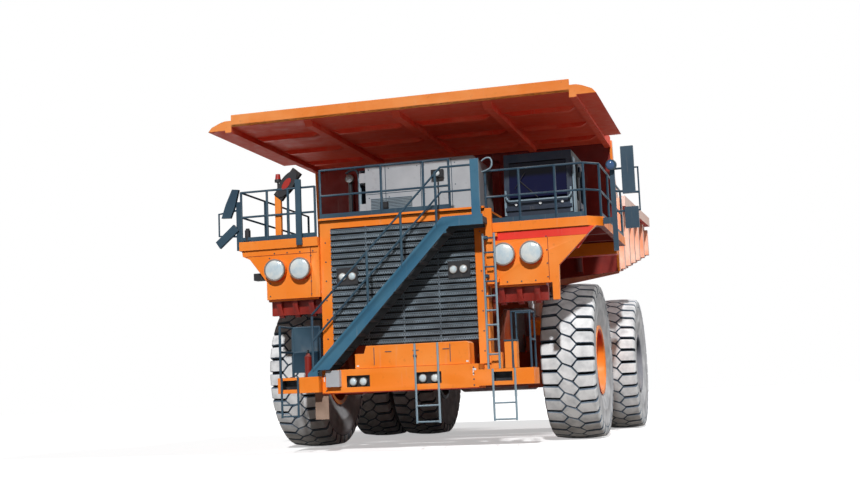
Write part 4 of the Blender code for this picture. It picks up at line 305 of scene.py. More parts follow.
# %% Rubber and dust
def rubber(name, clean, dusty, low, high, bump=0.3):
    """Matt rubber, or cloth: dust in patches where the noise lies between low and high."""
    material, tree, shader = new_finish(name)
    share = spread(tree, clouds(tree, 3.2, 9.0), low, high)
    colour = layer(tree, share, clean, dusty)
    specks = spread(tree, clouds(tree, 40.0, 3.0), 0.55, 0.75, 0.0, 0.3)
    colour = layer(tree, specks, colour, clean)
    join(tree, colour, shader.inputs["Base Color"])
    shader.inputs["Roughness"].default_value = 0.92
    shader.inputs["Specular IOR Level"].default_value = 0.2
    roughen(tree, shader, clouds(tree, 55.0, 6.0), bump, 0.006)
    return material


tread_rubber = rubber("tread_rubber_dusty", screen(188, 190, 192), screen(234, 235, 236), 0.3, 0.6)
groove_rubber = rubber("groove_rubber", screen(6, 7, 9), screen(20, 22, 26), 0.35, 0.7)
block_side_shade_rubber = rubber("tread_flank_rubber", screen(84, 98, 114), screen(128, 142, 156), 0.3, 0.7)
wall_rubber = rubber("sidewall_rubber", screen(172, 174, 178), screen(214, 215, 217), 0.3, 0.65)
print("rubbers: tread, groove, flank and wall")


# %% Steel, glass and mesh
GLASS_IOR = 1.45
STRAND_LEAN = 58              # degrees
WAVES_A_METRE = 3.2           # of a wave texture whose scale is 1


def metal(name, colour, roughness, metallic=1.0):
    """Steel with a little soot, whose gloss breaks up."""
    material, tree, shader = new_finish(name)
    tint = layer(tree, spread(tree, clouds(tree, 7.0, 6.0), 0.35, 0.7), colour, SOOT_AND_SHADE)
    faint = layer(tree, spread(tree, clouds(tree, 30.0), 0.0, 1.0, 0.6, 0.9), tint, colour)
    join(tree, faint, shader.inputs["Base Color"])
    shader.inputs["Metallic"].default_value = metallic
    rough = spread(tree, clouds(tree, 20.0, 5.0), 0.3, 0.7, roughness, roughness + 0.2)
    join(tree, rough, shader.inputs["Roughness"])
    return material


def glazing(name, colour, roughness, smear=0.16):
    """Dark or tinted glass with a film of dust on it."""
    material, tree, shader = new_finish(name)
    film = layer(tree, spread(tree, clouds(tree, 2.5, 7.0), 0.5, 0.85, 0.0, smear), colour, ROCK_DUST)
    join(tree, film, shader.inputs["Base Color"])
    join(tree, spread(tree, clouds(tree, 4.0), 0.3, 0.8, roughness, roughness + 0.12),
         shader.inputs["Roughness"])
    shader.inputs["IOR"].default_value = GLASS_IOR
    return material


def lattice(name, strand, gap, pitch, share):
    """Expanded metal: strands on two diagonals, by the piece's own X and Z, and gaps in a painted
    shade.
    """
    material, tree, shader = new_finish(name)
    height = None
    for lean in (1, -1):
        place = tree.nodes.new("ShaderNodeTexCoord")
        turned_place = tree.nodes.new("ShaderNodeMapping")
        turned_place.inputs["Rotation"].default_value = (0, lean * math.radians(STRAND_LEAN), 0)
        bands = tree.nodes.new("ShaderNodeTexWave")
        bands.bands_direction = "Z"
        bands.inputs["Scale"].default_value = 1 / (pitch * WAVES_A_METRE)
        join(tree, place.outputs["Object"], turned_place.inputs["Vector"])
        join(tree, turned_place.outputs["Vector"], bands.inputs["Vector"])
        wave = spread(tree, bands.outputs["Fac"], share, min(share + 0.25, 1.0))
        if height is None:
            height = wave
        else:
            both = tree.nodes.new("ShaderNodeMath")
            both.operation = "MAXIMUM"
            join(tree, height, both.inputs[0])
            join(tree, wave, both.inputs[1])
            height = both.outputs["Value"]
    worn = layer(tree, spread(tree, clouds(tree, 3.0, 7.0), 0.35, 0.7), strand, screen(60, 70, 78))
    # The gap colour between the strands is painted shade, for the dark seen through the holes.
    colour = layer(tree, height, gap, worn)
    join(tree, colour, shader.inputs["Base Color"])
    shader.inputs["Roughness"].default_value = 0.6
    roughen(tree, shader, height, 0.6, 0.01)
    return material


bright_steel = metal("bright_steel", screen(196, 198, 202), 0.22)
navy_glass = glazing("navy_glass", screen(5, 9, 48), 0.06, smear=0.015)
navy_glass.node_tree.nodes["Principled BSDF"].inputs["Specular IOR Level"].default_value = 0.15
blue_glass = glazing("blue_lamp_glass", screen(48, 84, 128), 0.12)
mirror_glass = glazing("mirror_glass", screen(84, 102, 116), 0.05)
mirror_glass.node_tree.nodes["Principled BSDF"].inputs["Metallic"].default_value = 0.85
slat_lattice = lattice("slat_lattice", screen(112, 128, 140), screen(5, 7, 10), 0.045, 0.45)
rock_white = enamel("rock_dusted_white", screen(232, 214, 208), screen(248, 232, 226),
                    screen(168, 140, 132), 0.5, 0.8, 0.2)
dusty_orange = enamel("rock_dusted_orange", screen(242, 158, 120), screen(248, 210, 192),
                      screen(176, 52, 34), 0.7, 0.6)
seat_cloth = rubber("seat_cloth", screen(30, 32, 40), screen(52, 54, 64), 0.3, 0.7, 0.5)
print("finishes:", len(bpy.data.materials))

# %% [markdown]
# ## Floor and light
# The truck stands on a pale floor in front of nothing. The sky is white to the camera, to mirrors
# and through glass, but only a soft grey to everything else, so that colours come out about as
# they are written. A low sun shines on the front, as the picture's shadows say, and a broad weak
# light from the truck's left keeps its flank from going dark.

# %% Floor, sky and sun
FLOOR_Z = -0.002
FLOOR_GLOW = 0.44             # to the camera alone, so that the floor is white
SKY_SOFT = 0.05
SUN_STRENGTH = 3.05
FILL_STRENGTH = 1.3
FLOOR_HALF = 170


def seen_directly(tree):
    """1 for what the camera, a mirror or a glass shows, and 0 for the light that falls on things."""
    path = tree.nodes.new("ShaderNodeLightPath")
    seen = path.outputs["Is Camera Ray"]
    for kind in ("Is Glossy Ray", "Is Transmission Ray"):
        either = tree.nodes.new("ShaderNodeMath")
        either.operation = "MAXIMUM"
        join(tree, seen, either.inputs[0])
        join(tree, path.outputs[kind], either.inputs[1])
        seen = either.outputs["Value"]
    return seen


floor_mesh = bpy.data.meshes.new("floor")
floor_shape = bmesh.new()
bmesh.ops.create_grid(floor_shape, x_segments=1, y_segments=1, size=FLOOR_HALF)
floor_shape.to_mesh(floor_mesh)
floor_shape.free()
floor = bpy.data.objects.new("floor", floor_mesh)
floor.location = FRONT_AXLE + Vector((0, 0, FLOOR_Z))
bpy.context.scene.collection.objects.link(floor)
floor_finish, floor_tree, floor_shader = new_finish("studio_floor")
floor_seen = seen_directly(floor_tree)
pale_floor = layer(floor_tree, clouds(floor_tree, 0.4), screen(250, 250, 250), screen(253, 253, 253))
floor_colour = layer(floor_tree, floor_seen, screen(132, 126, 120), pale_floor)
join(floor_tree, floor_colour, floor_shader.inputs["Base Color"])
floor_shader.inputs["Emission Color"].default_value = (1, 1, 1, 1)
join(floor_tree, spread(floor_tree, floor_seen, 0.0, 1.0, 0.0, FLOOR_GLOW),
     floor_shader.inputs["Emission Strength"])
floor_shader.inputs["Roughness"].default_value = 0.9
floor_shader.inputs["Specular IOR Level"].default_value = 0.0
floor_mesh.materials.append(floor_finish)


def sky(soft):
    """White where it is seen, and only soft light everywhere else."""
    world = bpy.data.worlds.new("studio_sky")
    world.use_nodes = True
    tree = world.node_tree
    background = tree.nodes["Background"]
    background.inputs["Color"].default_value = (1, 1, 1, 1)
    join(tree, spread(tree, seen_directly(tree), 0.0, 1.0, soft, 1.0), background.inputs["Strength"])
    bpy.context.scene.world = world


sky(SKY_SOFT)
for name, strength, width, way in (("sun", SUN_STRENGTH, 2.0, (-0.20, 1.0, -0.64)),
                                   ("fill", FILL_STRENGTH, 12.0, (-1.0, 0.06, -0.90))):
    light = bpy.data.objects.new(name, bpy.data.lights.new(name, "SUN"))
    light.data.energy = strength
    light.data.angle = math.radians(width)
    light.rotation_euler = Vector(way).to_track_quat("-Z", "Y").to_euler()
    bpy.context.scene.collection.objects.link(light)
print("floor, sky and two lights ready")

# %% [markdown]
# ## A small workshop
# Nearly every part here is welded plate, bar or turned steel. So a handful of helpers is enough:
# a block, a rod, a turned profile, a flat outline cut from plate. Each adds to one `shape`, and
# `piece` turns the shape into an object on the body that carries it. Which finish a face gets is
# told by number while it is made.


# %% Helpers that add to a shape
SHARP_ANGLE = math.radians(38)      # edges that bend more than this stay sharp, or get a bevel


def coloured(made, finish):
    """Gives the faces round these vertices a finish number."""
    for face in {face for vertex in made for face in vertex.link_faces}:
        face.material_index = finish
    return made


def block(shape, low, high, finish=0):
    """A box between two corners."""
    low, high = Vector(low), Vector(high)
    place = Matrix.Translation((low + high) / 2) @ Matrix.Diagonal((*(high - low), 1.0))
    return coloured(bmesh.ops.create_cube(shape, size=1.0, matrix=place)["verts"], finish)


def rod(shape, start, end, radius, sides=12, finish=0, end_radius=None):
    """A round bar, or a cone when end_radius differs."""
    start, end = Vector(start), Vector(end)
    way = end - start
    place = Matrix.Translation((start + end) / 2) @ way.to_track_quat("Z", "Y").to_matrix().to_4x4()
    made = bmesh.ops.create_cone(
        shape, cap_ends=True, cap_tris=False, segments=sides, radius1=radius,
        radius2=radius if end_radius is None else end_radius, depth=way.length, matrix=place)
    return coloured(made["verts"], finish)


def turned(shape, profile, place, steps=48, finishes=()):
    """A closed profile of (radius, along) spun round its own axis, then put at place.
    finishes gives each side of the profile its own finish number."""
    rings = []
    for step in range(steps):
        angle = 2 * math.pi * step / steps
        direction = Vector((math.cos(angle), math.sin(angle), 0))
        rings.append([shape.verts.new(place @ (direction * radius + Vector((0, 0, along))))
                      for radius, along in profile])
    for step in range(steps):
        ring, following = rings[step], rings[(step + 1) % steps]
        for index in range(len(profile)):
            after = (index + 1) % len(profile)
            if profile[index][0] == 0 and profile[after][0] == 0:
                continue
            face = shape.faces.new((ring[index], ring[after], following[after], following[index]))
            face.material_index = finishes[index] if finishes else 0


def plate(shape, outline, axis, near, far, finish=0):
    """A flat outline of (Y, Z) or (X, Z) points, from near to far along the axis, X or Y."""
    def corner(point, along):
        if axis == "X":
            return (along, point[0], point[1])
        return (point[0], along, point[1])
    bottom = [shape.verts.new(corner(point, near)) for point in outline]
    top = [shape.verts.new(corner(point, far)) for point in outline]
    shape.faces.new(bottom)
    shape.faces.new(top)
    for index in range(len(outline)):
        after = (index + 1) % len(outline)
        shape.faces.new((bottom[index], bottom[after], top[after], top[index]))
    return coloured(bottom + top, finish)


def piece(name, shape, finishes, body, bevel=0.0, stands_for=(), merge=0.0001):
    """Turns a shape into an object that rides on a body, and says what it replaces."""
    bmesh.ops.remove_doubles(shape, verts=shape.verts, dist=merge)
    bmesh.ops.recalc_face_normals(shape, faces=shape.faces)
    mesh = bpy.data.meshes.new(name)
    shape.to_mesh(mesh)
    shape.free()
    return mounted(name, mesh, finishes, body, bevel, stands_for)


def mounted(name, mesh, finishes, body, bevel=0.0, stands_for=()):
    """Moves a mesh from truck measures to the frame and lets it ride on a body."""
    mesh.transform(Matrix.Translation(FRONT_AXLE))
    if mesh.materials:
        mesh.materials.clear()
    for finish in finishes:
        mesh.materials.append(finish)
    mesh.shade_smooth()
    mesh.set_sharp_from_angle(angle=SHARP_ANGLE)
    made = bpy.data.objects.new(name, mesh)
    bpy.context.scene.collection.objects.link(made)
    if bevel:
        rounding = made.modifiers.new("edges", "BEVEL")
        rounding.width = bevel
        rounding.segments = 2
        rounding.limit_method = "ANGLE"
        rounding.angle_limit = SHARP_ANGLE
        rounding.harden_normals = True
    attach(made, body)
    if stands_for:
        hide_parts(*stands_for)
    return made


print("workshop ready")

# %% [markdown]
# ## Patterns by Geometry Nodes
# Treads, studs, slats and rungs all repeat. Two small node trees do the repeating: one copies a
# shape round the X axis, the other in a straight row. Both end in Realize Instances and Set
# Material, and what comes out is turned into an ordinary mesh. Faces that carry the mark
# second_finish get the other of two materials.


# %% Node trees for repeats
def repeat_tree(name, inputs, place_copies):
    """A node tree that copies a shape onto points. place_copies says where each copy goes."""
    tree = bpy.data.node_groups.new(name, "GeometryNodeTree")
    tree.interface.new_socket("Geometry", in_out="INPUT", socket_type="NodeSocketGeometry")
    for label, kind in inputs:
        tree.interface.new_socket(label, in_out="INPUT", socket_type=kind)
    tree.interface.new_socket("Geometry", in_out="OUTPUT", socket_type="NodeSocketGeometry")
    given = tree.nodes.new("NodeGroupInput")
    result = tree.nodes.new("NodeGroupOutput")
    points = tree.nodes.new("GeometryNodePoints")
    on_points = tree.nodes.new("GeometryNodeInstanceOnPoints")
    real = tree.nodes.new("GeometryNodeRealizeInstances")
    paint = tree.nodes.new("GeometryNodeSetMaterial")
    index = tree.nodes.new("GeometryNodeInputIndex")
    tree.links.new(given.outputs["Copies"], points.inputs["Count"])
    tree.links.new(points.outputs[0], on_points.inputs["Points"])
    tree.links.new(given.outputs["Geometry"], on_points.inputs["Instance"])
    place_copies(tree, given, index, points, on_points)
    tree.links.new(on_points.outputs["Instances"], real.inputs["Geometry"])
    tree.links.new(real.outputs["Geometry"], paint.inputs["Geometry"])
    tree.links.new(given.outputs["Finish"], paint.inputs["Material"])
    worn = tree.nodes.new("GeometryNodeSetMaterial")
    marked = tree.nodes.new("GeometryNodeInputNamedAttribute")
    marked.data_type = "BOOLEAN"
    marked.inputs["Name"].default_value = "second_finish"
    tree.links.new(paint.outputs["Geometry"], worn.inputs["Geometry"])
    tree.links.new(given.outputs["Second finish"], worn.inputs["Material"])
    tree.links.new(marked.outputs["Attribute"], worn.inputs["Selection"])
    tree.links.new(worn.outputs["Geometry"], result.inputs["Geometry"])
    return tree


def round_the_axle(tree, given, index, points, on_points):
    """Turns each copy about X by its share of a full turn."""
    angle = tree.nodes.new("ShaderNodeMath")
    angle.operation = "DIVIDE"
    angle.inputs[0].default_value = 2 * math.pi
    turn_each = tree.nodes.new("ShaderNodeMath")
    turn_each.operation = "MULTIPLY"
    about_x = tree.nodes.new("ShaderNodeCombineXYZ")
    tree.links.new(given.outputs["Copies"], angle.inputs[1])
    tree.links.new(angle.outputs[0], turn_each.inputs[0])
    tree.links.new(index.outputs[0], turn_each.inputs[1])
    tree.links.new(turn_each.outputs[0], about_x.inputs["X"])
    tree.links.new(about_x.outputs[0], on_points.inputs["Rotation"])


def along_a_row(tree, given, index, points, on_points):
    """Moves each copy one step further."""
    step = tree.nodes.new("ShaderNodeVectorMath")
    step.operation = "SCALE"
    tree.links.new(given.outputs["Step"], step.inputs[0])
    tree.links.new(index.outputs[0], step.inputs["Scale"])
    tree.links.new(step.outputs["Vector"], points.inputs["Position"])


COMMON_INPUTS = [("Copies", "NodeSocketInt"), ("Finish", "NodeSocketMaterial"),
                 ("Second finish", "NodeSocketMaterial")]
RING = repeat_tree("copies_round_the_axle", COMMON_INPUTS, round_the_axle)
ROW = repeat_tree("copies_in_a_row", [*COMMON_INPUTS, ("Step", "NodeSocketVector")], along_a_row)


def repeated(tree, shape, copies, finish, second=None, step=None):
    """Runs a repeat tree on a shape and returns the result as a plain mesh."""
    mesh = bpy.data.meshes.new("one_copy")
    bmesh.ops.recalc_face_normals(shape, faces=shape.faces)
    shape.to_mesh(mesh)
    shape.free()
    holder = bpy.data.objects.new("pattern", mesh)
    bpy.context.scene.collection.objects.link(holder)
    maker = holder.modifiers.new("pattern", "NODES")
    maker.node_group = tree
    socket = {item.name: item.identifier for item in tree.interface.items_tree
              if item.in_out == "INPUT"}
    maker[socket["Copies"]] = copies
    maker[socket["Finish"]] = finish
    maker[socket["Second finish"]] = second or finish
    if step is not None:
        maker[socket["Step"]] = step
    bpy.context.view_layer.update()
    seen = holder.evaluated_get(bpy.context.evaluated_depsgraph_get())
    result = bpy.data.meshes.new_from_object(seen)
    holder.modifiers.remove(maker)
    bpy.data.objects.remove(holder)
    return result


def numbered(mesh, number_of, other):
    """A patterned mesh as a shape. number_of gives a finish's number, other that of the rest."""
    shape = bmesh.new()
    shape.from_mesh(mesh)
    numbers = [number_of.get(material.name, other) if material else other
               for material in mesh.materials]
    for face in shape.faces:
        face.material_index = numbers[face.material_index]
    return shape


print("repeat trees:", RING.name, ROW.name)

# %% [markdown]
# ## The tyres
# A haul truck's tyre carries rows of thick blocks: pentagons on the shoulders, which run a little
# way down the wall, and slanted hexagons along the middle. Cutting grooves into a round tyre is
# hard work. It is far easier to lay out one pitch of the tread flat, as a table of outlines, raise
# the blocks, and then wrap every point onto the tyre: across becomes a place on the cross-section,
# along becomes an angle, and height runs from the groove's floor to the worn top.

# %% Sizes of the tread
TREAD_R = 1.777
PITCHES = 34
PITCH_ANGLE = 2 * math.pi / PITCHES
PITCH_LENGTH = PITCH_ANGLE * TREAD_R
HEX_IN, HEX_OUT = 0.105, 0.235
WIDE_GROOVE_SHARE = 0.095     # of a pitch, each side of its middle
FINE_GROOVE = 0.007           # each side of its middle
LEAD_SHARE = -0.25            # of a pitch, how far the inboard row runs ahead
TOP_CHAMFER = 0.012
BLOCK_HIGH = 0.077            # from the groove's floor to a block's top, on the middle of the tread
# girth from the centre line: (girth, across, radius at a block's top, across, radius at the floor)
SECTION = [(0.0, 0.0, TREAD_R, 0.0, 1.700), (0.25, 0.25, 1.767, 0.25, 1.692),
           (0.50, 0.50, 1.7385, 0.49, 1.664), (0.545, 0.545, 1.731, 0.528, 1.645),
           (0.60, 0.578, 1.690, 0.552, 1.605), (0.68, 0.5875, 1.610, 0.572, 1.565),
           (0.76, 0.5895, 1.530, 0.585, 1.526)]
EDGE_GIRTH = SECTION[-1][0]
# across, radius: the wall from the tread's edge to the bead
WALL = [(0.586, 1.50), (0.588, 1.44), (0.5835, 1.43), (0.583, 1.30), (0.572, 1.17), (0.575, 1.16),
        (0.566, 1.13), (0.545, 0.98), (0.515, 0.86), (0.50, 0.80), (0.49, 0.745), (0.48, 0.728)]
print("one pitch of the tread is", round(PITCH_LENGTH, 3), "m long")


# %% One pitch of blocks, flat and then wrapped
def section_at(girth, height):
    """Across and radius of a point at this girth, height 0 at the floor and 1 at the top."""
    size = abs(girth)
    for before, after in zip(SECTION, SECTION[1:]):
        if size <= after[0] + 1e-6:
            share = (size - before[0]) / (after[0] - before[0])
            top_x, top_r, low_x, low_r = (a + (b - a) * share for a, b in zip(before[1:], after[1:]))
            break
    across = low_x + (top_x - low_x) * height
    return math.copysign(across, girth), low_r + (top_r - low_r) * height


def block_outlines():
    """The outlines of one pitch, as (girth, pitches along)."""
    slope = (HEX_OUT - HEX_IN) / 0.5
    slant = FINE_GROOVE * math.hypot(slope, PITCH_LENGTH) / PITCH_LENGTH
    wide = WIDE_GROOVE_SHARE
    edge_in = HEX_OUT - slope * wide + slant
    shoulder = [(edge_in, wide), (HEX_IN + slant, 0.5), (edge_in, 1 - wide),
                (EDGE_GIRTH, 1 - wide), (EDGE_GIRTH, wide)]
    fine = FINE_GROOVE / PITCH_LENGTH
    lead = LEAD_SHARE
    middle = [(HEX_IN - slant, -0.5 + 2 * fine), (HEX_OUT - slant, 0.0),
              (HEX_IN - slant, 0.5 - 2 * fine), (-HEX_IN + slant, 0.5 + lead - fine),
              (-HEX_OUT + slant, lead), (-HEX_IN + slant, -0.5 + lead + fine)]
    other = [(-girth, along + lead) for girth, along in shoulder]
    return [shoulder, middle, other]


def one_pitch():
    """The blocks of one pitch, cut where the cross-section bends, and wrapped onto the tyre."""
    shape = bmesh.new()
    marked = shape.faces.layers.bool.new("second_finish")
    for outline in block_outlines():
        face = shape.faces.new([shape.verts.new((girth, along * PITCH_LENGTH, 0.0))
                                for girth, along in outline])
        raised = bmesh.ops.extrude_face_region(shape, geom=[face])["geom"]
        tops = [v for v in raised if isinstance(v, bmesh.types.BMVert)]
        bmesh.ops.translate(shape, verts=tops, vec=(0, 0, 1.0))
    bmesh.ops.recalc_face_normals(shape, faces=shape.faces)
    rims = [edge for edge in shape.edges if all(v.co.z > 0.5 for v in edge.verts)]
    chamfer_all(shape, rims)
    for girth in [row[0] for row in SECTION[1:-1]]:
        for side in (1, -1):
            bmesh.ops.bisect_plane(shape, geom=shape.verts[:] + shape.edges[:] + shape.faces[:],
                                   plane_co=(side * girth, 0, 0), plane_no=(1, 0, 0))
    for quarter in range(-3, 5):
        bmesh.ops.bisect_plane(shape, geom=shape.verts[:] + shape.edges[:] + shape.faces[:],
                               plane_co=(0, quarter * 0.25 * PITCH_LENGTH, 0), plane_no=(0, 1, 0))
    for face in shape.faces:
        # Tops get the second finish, the pale tread; the blocks' sides keep the first, a painted shade.
        face[marked] = face.normal.z > 0.2
    for vertex in shape.verts:
        across, radius = section_at(vertex.co.x, vertex.co.z)
        angle = vertex.co.y / TREAD_R
        vertex.co = Vector((across, radius * math.cos(angle), radius * math.sin(angle)))
    return shape


def chamfer_all(shape, rims):
    """Chamfers the blocks' top edges, in the flat layout where a block is one high."""
    for vertex in shape.verts:
        vertex.co.z *= BLOCK_HIGH
    bmesh.ops.bevel(shape, geom=rims, offset=TOP_CHAMFER, segments=1, affect="EDGES")
    for vertex in shape.verts:
        vertex.co.z /= BLOCK_HIGH


def carcass(shape, steps=PITCHES * 4):
    """The tyre under its blocks: groove floors, walls and beads. Its axis is X."""
    across_half = [(row[3], row[4], 1) for row in SECTION] + [(x, r, 2) for x, r in WALL]
    outline = across_half + [(-x, r, kind) for x, r, kind in reversed(across_half[1:])]
    profile = [(radius, across) for across, radius, _ in outline]
    # Groove floors get finish 1, a painted shade; the walls get finish 2.
    finishes = []
    for index, (_, _, kind) in enumerate(outline):
        after = outline[(index + 1) % len(outline)][2]
        finishes.append(1 if kind == 1 and after == 1 else 2)
    place = Matrix.Rotation(math.pi / 2, 4, "Y")
    turned(shape, profile, place, steps, finishes)


def tyre_mesh(side):
    """One tyre about the origin, with its axis on X: blocks, groove floors and walls."""
    blocks = repeated(RING, one_pitch(), PITCHES, block_side_shade_rubber, tread_rubber)
    shape = numbered(blocks, {tread_rubber.name: 0}, 3)
    carcass(shape)
    bmesh.ops.transform(shape, matrix=Matrix.Scale(side, 4, (1, 0, 0)), verts=shape.verts)
    bmesh.ops.remove_doubles(shape, verts=shape.verts, dist=0.0001)
    bmesh.ops.recalc_face_normals(shape, faces=shape.faces)
    return shape


# %% Put the six tyres on their wheels
TYRES = [("front_tyre", FRONT_WHEEL_X, 0.0, "front_wheel"),
         ("rear_tyre_outer", REAR_OUTER_X, WHEELBASE, "rear_wheel"),
         ("rear_tyre_inner", REAR_INNER_X, WHEELBASE, "rear_wheel")]
# Pale tops, the grooves' painted shade, the walls, and the blocks' sides in painted shade.
tyre_finishes = [tread_rubber, groove_rubber, wall_rubber, block_side_shade_rubber]
for side, side_name in SIDES:
    pattern = tyre_mesh(side)
    for name, across, along, body in TYRES:
        shape = pattern.copy()
        bmesh.ops.translate(shape, verts=shape.verts, vec=(side * across, along, AXLE_Z))
        made = piece(f"{name}_dressed_{side_name}", shape, tyre_finishes, f"{body}_{side_name}",
                     stands_for=[f"{name}_{side_name}"])
    pattern.free()
print("a tyre has", len(made.data.polygons), "faces")

# %% [markdown]
# ## The rims
# A front rim is a deep dish: the flange that holds the tyre, a barrel, a bolted ring of studs and
# the hub's cap. It is a turned part, so it is a profile spun round the axle, and the studs are one
# hexagon head repeated by the ring tree. The rear rim hides the wheel motor behind a flat cover.

# %% Rims and their studs
STUD_R, STUD_LONG = 0.022, 0.05
# radius, outboard: closed loops from the middle round to the middle
FRONT_RIM = [(0, 0.34), (0.14, 0.34), (0.17, 0.325), (0.19, 0.30), (0.205, 0.265), (0.26, 0.255),
             (0.28, 0.235), (0.30, 0.205), (0.48, 0.17), (0.52, 0.178), (0.55, 0.20), (0.575, 0.235),
             (0.60, 0.25), (0.655, 0.255), (0.672, 0.28), (0.688, 0.34), (0.692, 0.50),
             (0.715, 0.527), (0.75, 0.53), (0.788, 0.53), (0.79, 0.515), (0.788, 0.502),
             (0.724, 0.498), (0.724, -0.50), (0.79, -0.50), (0.79, -0.53), (0.69, -0.53),
             (0.69, 0.20), (0.50, 0.08), (0.30, 0.04), (0.30, -0.15), (0, -0.15)]
REAR_RIM_FACE = [(0, 0.16), (0.30, 0.16), (0.33, 0.15), (0.36, 0.125), (0.40, 0.10), (0.42, 0.045),
                 (0.56, 0.01), (0.60, 0.0), (0.64, 0.012), (0.67, 0.04), (0.688, 0.10), (0.692, 0.50),
                 (0.715, 0.527), (0.788, 0.53), (0.79, 0.515), (0.788, 0.502), (0.724, 0.498),
                 (0.724, -0.50), (0.79, -0.50), (0.79, -0.53), (0.728, -0.53)]
TWIN = REAR_INNER_X - REAR_OUTER_X
MOTOR_DRUM_X = 2.2003
DRUM_FACE = MOTOR_DRUM_X - REAR_OUTER_X
REAR_RIM = REAR_RIM_FACE + [
    (0.728, TWIN + 0.53), (0.79, TWIN + 0.53), (0.79, TWIN + 0.50), (0.724, TWIN + 0.50),
    (0.724, TWIN - 0.50), (0.79, TWIN - 0.50), (0.79, TWIN - 0.53), (0.69, TWIN - 0.53),
    (0.69, DRUM_FACE + 0.30), (0.56, DRUM_FACE + 0.24), (0.56, DRUM_FACE), (0, DRUM_FACE)]


def stud_ring(radius, outboard, count, size, long, finish):
    """Hexagon nuts with their studs in a circle, about the X axis."""
    shape = bmesh.new()
    foot, tip = Vector((outboard, radius, 0)), Vector((outboard + long, radius, 0))
    rod(shape, foot, foot + (tip - foot) * 0.55, size, 6)
    rod(shape, foot, tip, size * 0.5, 8)
    return repeated(RING, shape, count, finish)


def rim(name, profile, rings, x, y, side, side_name, body, finish):
    """A turned rim with its rings of studs, on the wheel of one side."""
    shape = bmesh.new()
    turned(shape, profile, Matrix.Rotation(math.pi / 2, 4, "Y"), 72)
    for radius, outboard, count, size, long in rings:
        shape.from_mesh(stud_ring(radius, outboard, count, size, long, finish))
    if side < 0:
        bmesh.ops.rotate(shape, verts=shape.verts, matrix=Matrix.Rotation(math.pi, 3, "Z"))
    bmesh.ops.translate(shape, verts=shape.verts, vec=(side * x, y, AXLE_Z))
    for face in shape.faces:
        face.material_index = 0
    return piece(f"{name}_dressed_{side_name}", shape, [finish], f"{body}_{side_name}",
                 stands_for=[f"{name}_{side_name}"])


FRONT_RINGS = [(0.628, 0.255, 40, STUD_R, STUD_LONG), (0.23, 0.26, 16, 0.016, 0.03),
               (0.09, 0.338, 8, 0.014, 0.022)]
REAR_RINGS = [(0.655, 0.02, 36, STUD_R, STUD_LONG), (0.37, 0.11, 20, 0.016, 0.03),
              (0.25, 0.158, 12, 0.014, 0.022)]
for side, side_name in SIDES:
    rim("front_rim", FRONT_RIM, FRONT_RINGS, FRONT_WHEEL_X, 0, side, side_name, "front_wheel",
        orange_enamel)
    rim("rear_rim", REAR_RIM, REAR_RINGS, REAR_OUTER_X, WHEELBASE, side, side_name, "rear_wheel",
        rim_enamel)
print("rims with", FRONT_RINGS[0][2], "and", REAR_RINGS[0][2], "studs")

# %% [markdown]
# ## Dressing a solid
# Most solids already have the right form. A weldment looks real once its edges catch the light and
# each face has its finish: tread plate where people walk, and painted shade, red under the decks
# and black in the recesses. So a solid is copied, its flat faces are joined up, a small function
# looks at each face's place and direction and names its finish, and a Bevel modifier rounds the
# edges. The first finish in each list is the main one.

# %% Finishes for plate that people walk on, for a painted shadow strip and for the body's sides
TREAD_PLATE_PITCH = 0.05


def checker_plate(name, colour, worn):
    """Steel plate with small raised bars in two directions."""
    material, tree, shader = new_finish(name)
    place = tree.nodes.new("ShaderNodeTexCoord")
    bars = tree.nodes.new("ShaderNodeTexChecker")
    bars.inputs["Scale"].default_value = 1 / TREAD_PLATE_PITCH
    join(tree, place.outputs["Object"], bars.inputs["Vector"])
    dusty = spread(tree, clouds(tree, 1.7, 7.0), 0.35, 0.68)
    dusted = layer(tree, dusty, colour, worn)
    join(tree, layer(tree, product(tree, bars.outputs["Fac"], 0.25), dusted, SOOT_AND_SHADE),
         shader.inputs["Base Color"])
    shader.inputs["Roughness"].default_value = 0.75
    roughen(tree, shader, bars.outputs["Fac"], 0.5, 0.003)
    return material


walkway_plate = checker_plate("walkway_plate", screen(70, 72, 76), screen(150, 138, 126))
step_plate = checker_plate("step_plate", screen(16, 18, 22), screen(40, 44, 48))
# Painted shadow: the red strip under the left deck's edge.
deck_shadow_strip = enamel("band_red_enamel", screen(226, 46, 30), screen(238, 70, 44), screen(140, 22, 16),
                  0.2, 0.4, 0.1)
# Slate darkened as painted shade, for the shadow of the canopy on the cab.
cab_shade_slate = enamel("cab_slate_enamel", screen(9, 26, 46), screen(17, 40, 64), screen(6, 12, 20),
                   0.2, 0.35, 0.1)
pale_slate = enamel("pale_slate_enamel", screen(116, 138, 152), screen(140, 158, 168),
                    screen(60, 76, 88), 0.3, 0.45, 0.1)
white_enamel = enamel("white_enamel", screen(222, 224, 226), screen(236, 236, 236),
                      screen(170, 170, 170), 0.2, 0.4, 0.1)
# A pale pink for the faces of the body's sides that face outward.
body_side_pale = enamel("rock_dust_pink", screen(240, 206, 192), screen(250, 228, 220),
                   screen(150, 70, 50), 0.6, 0.85, 0.25)
print("finishes:", len(bpy.data.materials))

# %% Copy a solid, join its flat faces and choose a finish for each
SLIVER_AREA = 1e-7
SAME_PLANE = 0.99999          # of two faces' directions, as their dot product
FACES_UP = 0.7                # a face that points up by more than this is a top
MEMBERS = frame["record"]["behaviour"]["bodies"]
BODY_OF = {node: body for body, members in MEMBERS.items() for node in members}
SLOT_OF = {row["node"]: row["material_slot"] for row in frame["record"]["subparts"]}


def joins_flat_faces(edge):
    """True where the faces on both sides lie in one plane and neither is a sliver."""
    one, other = edge.link_faces
    if min(one.calc_area(), other.calc_area()) < SLIVER_AREA:
        return False
    return one.normal.dot(other.normal) > SAME_PLANE


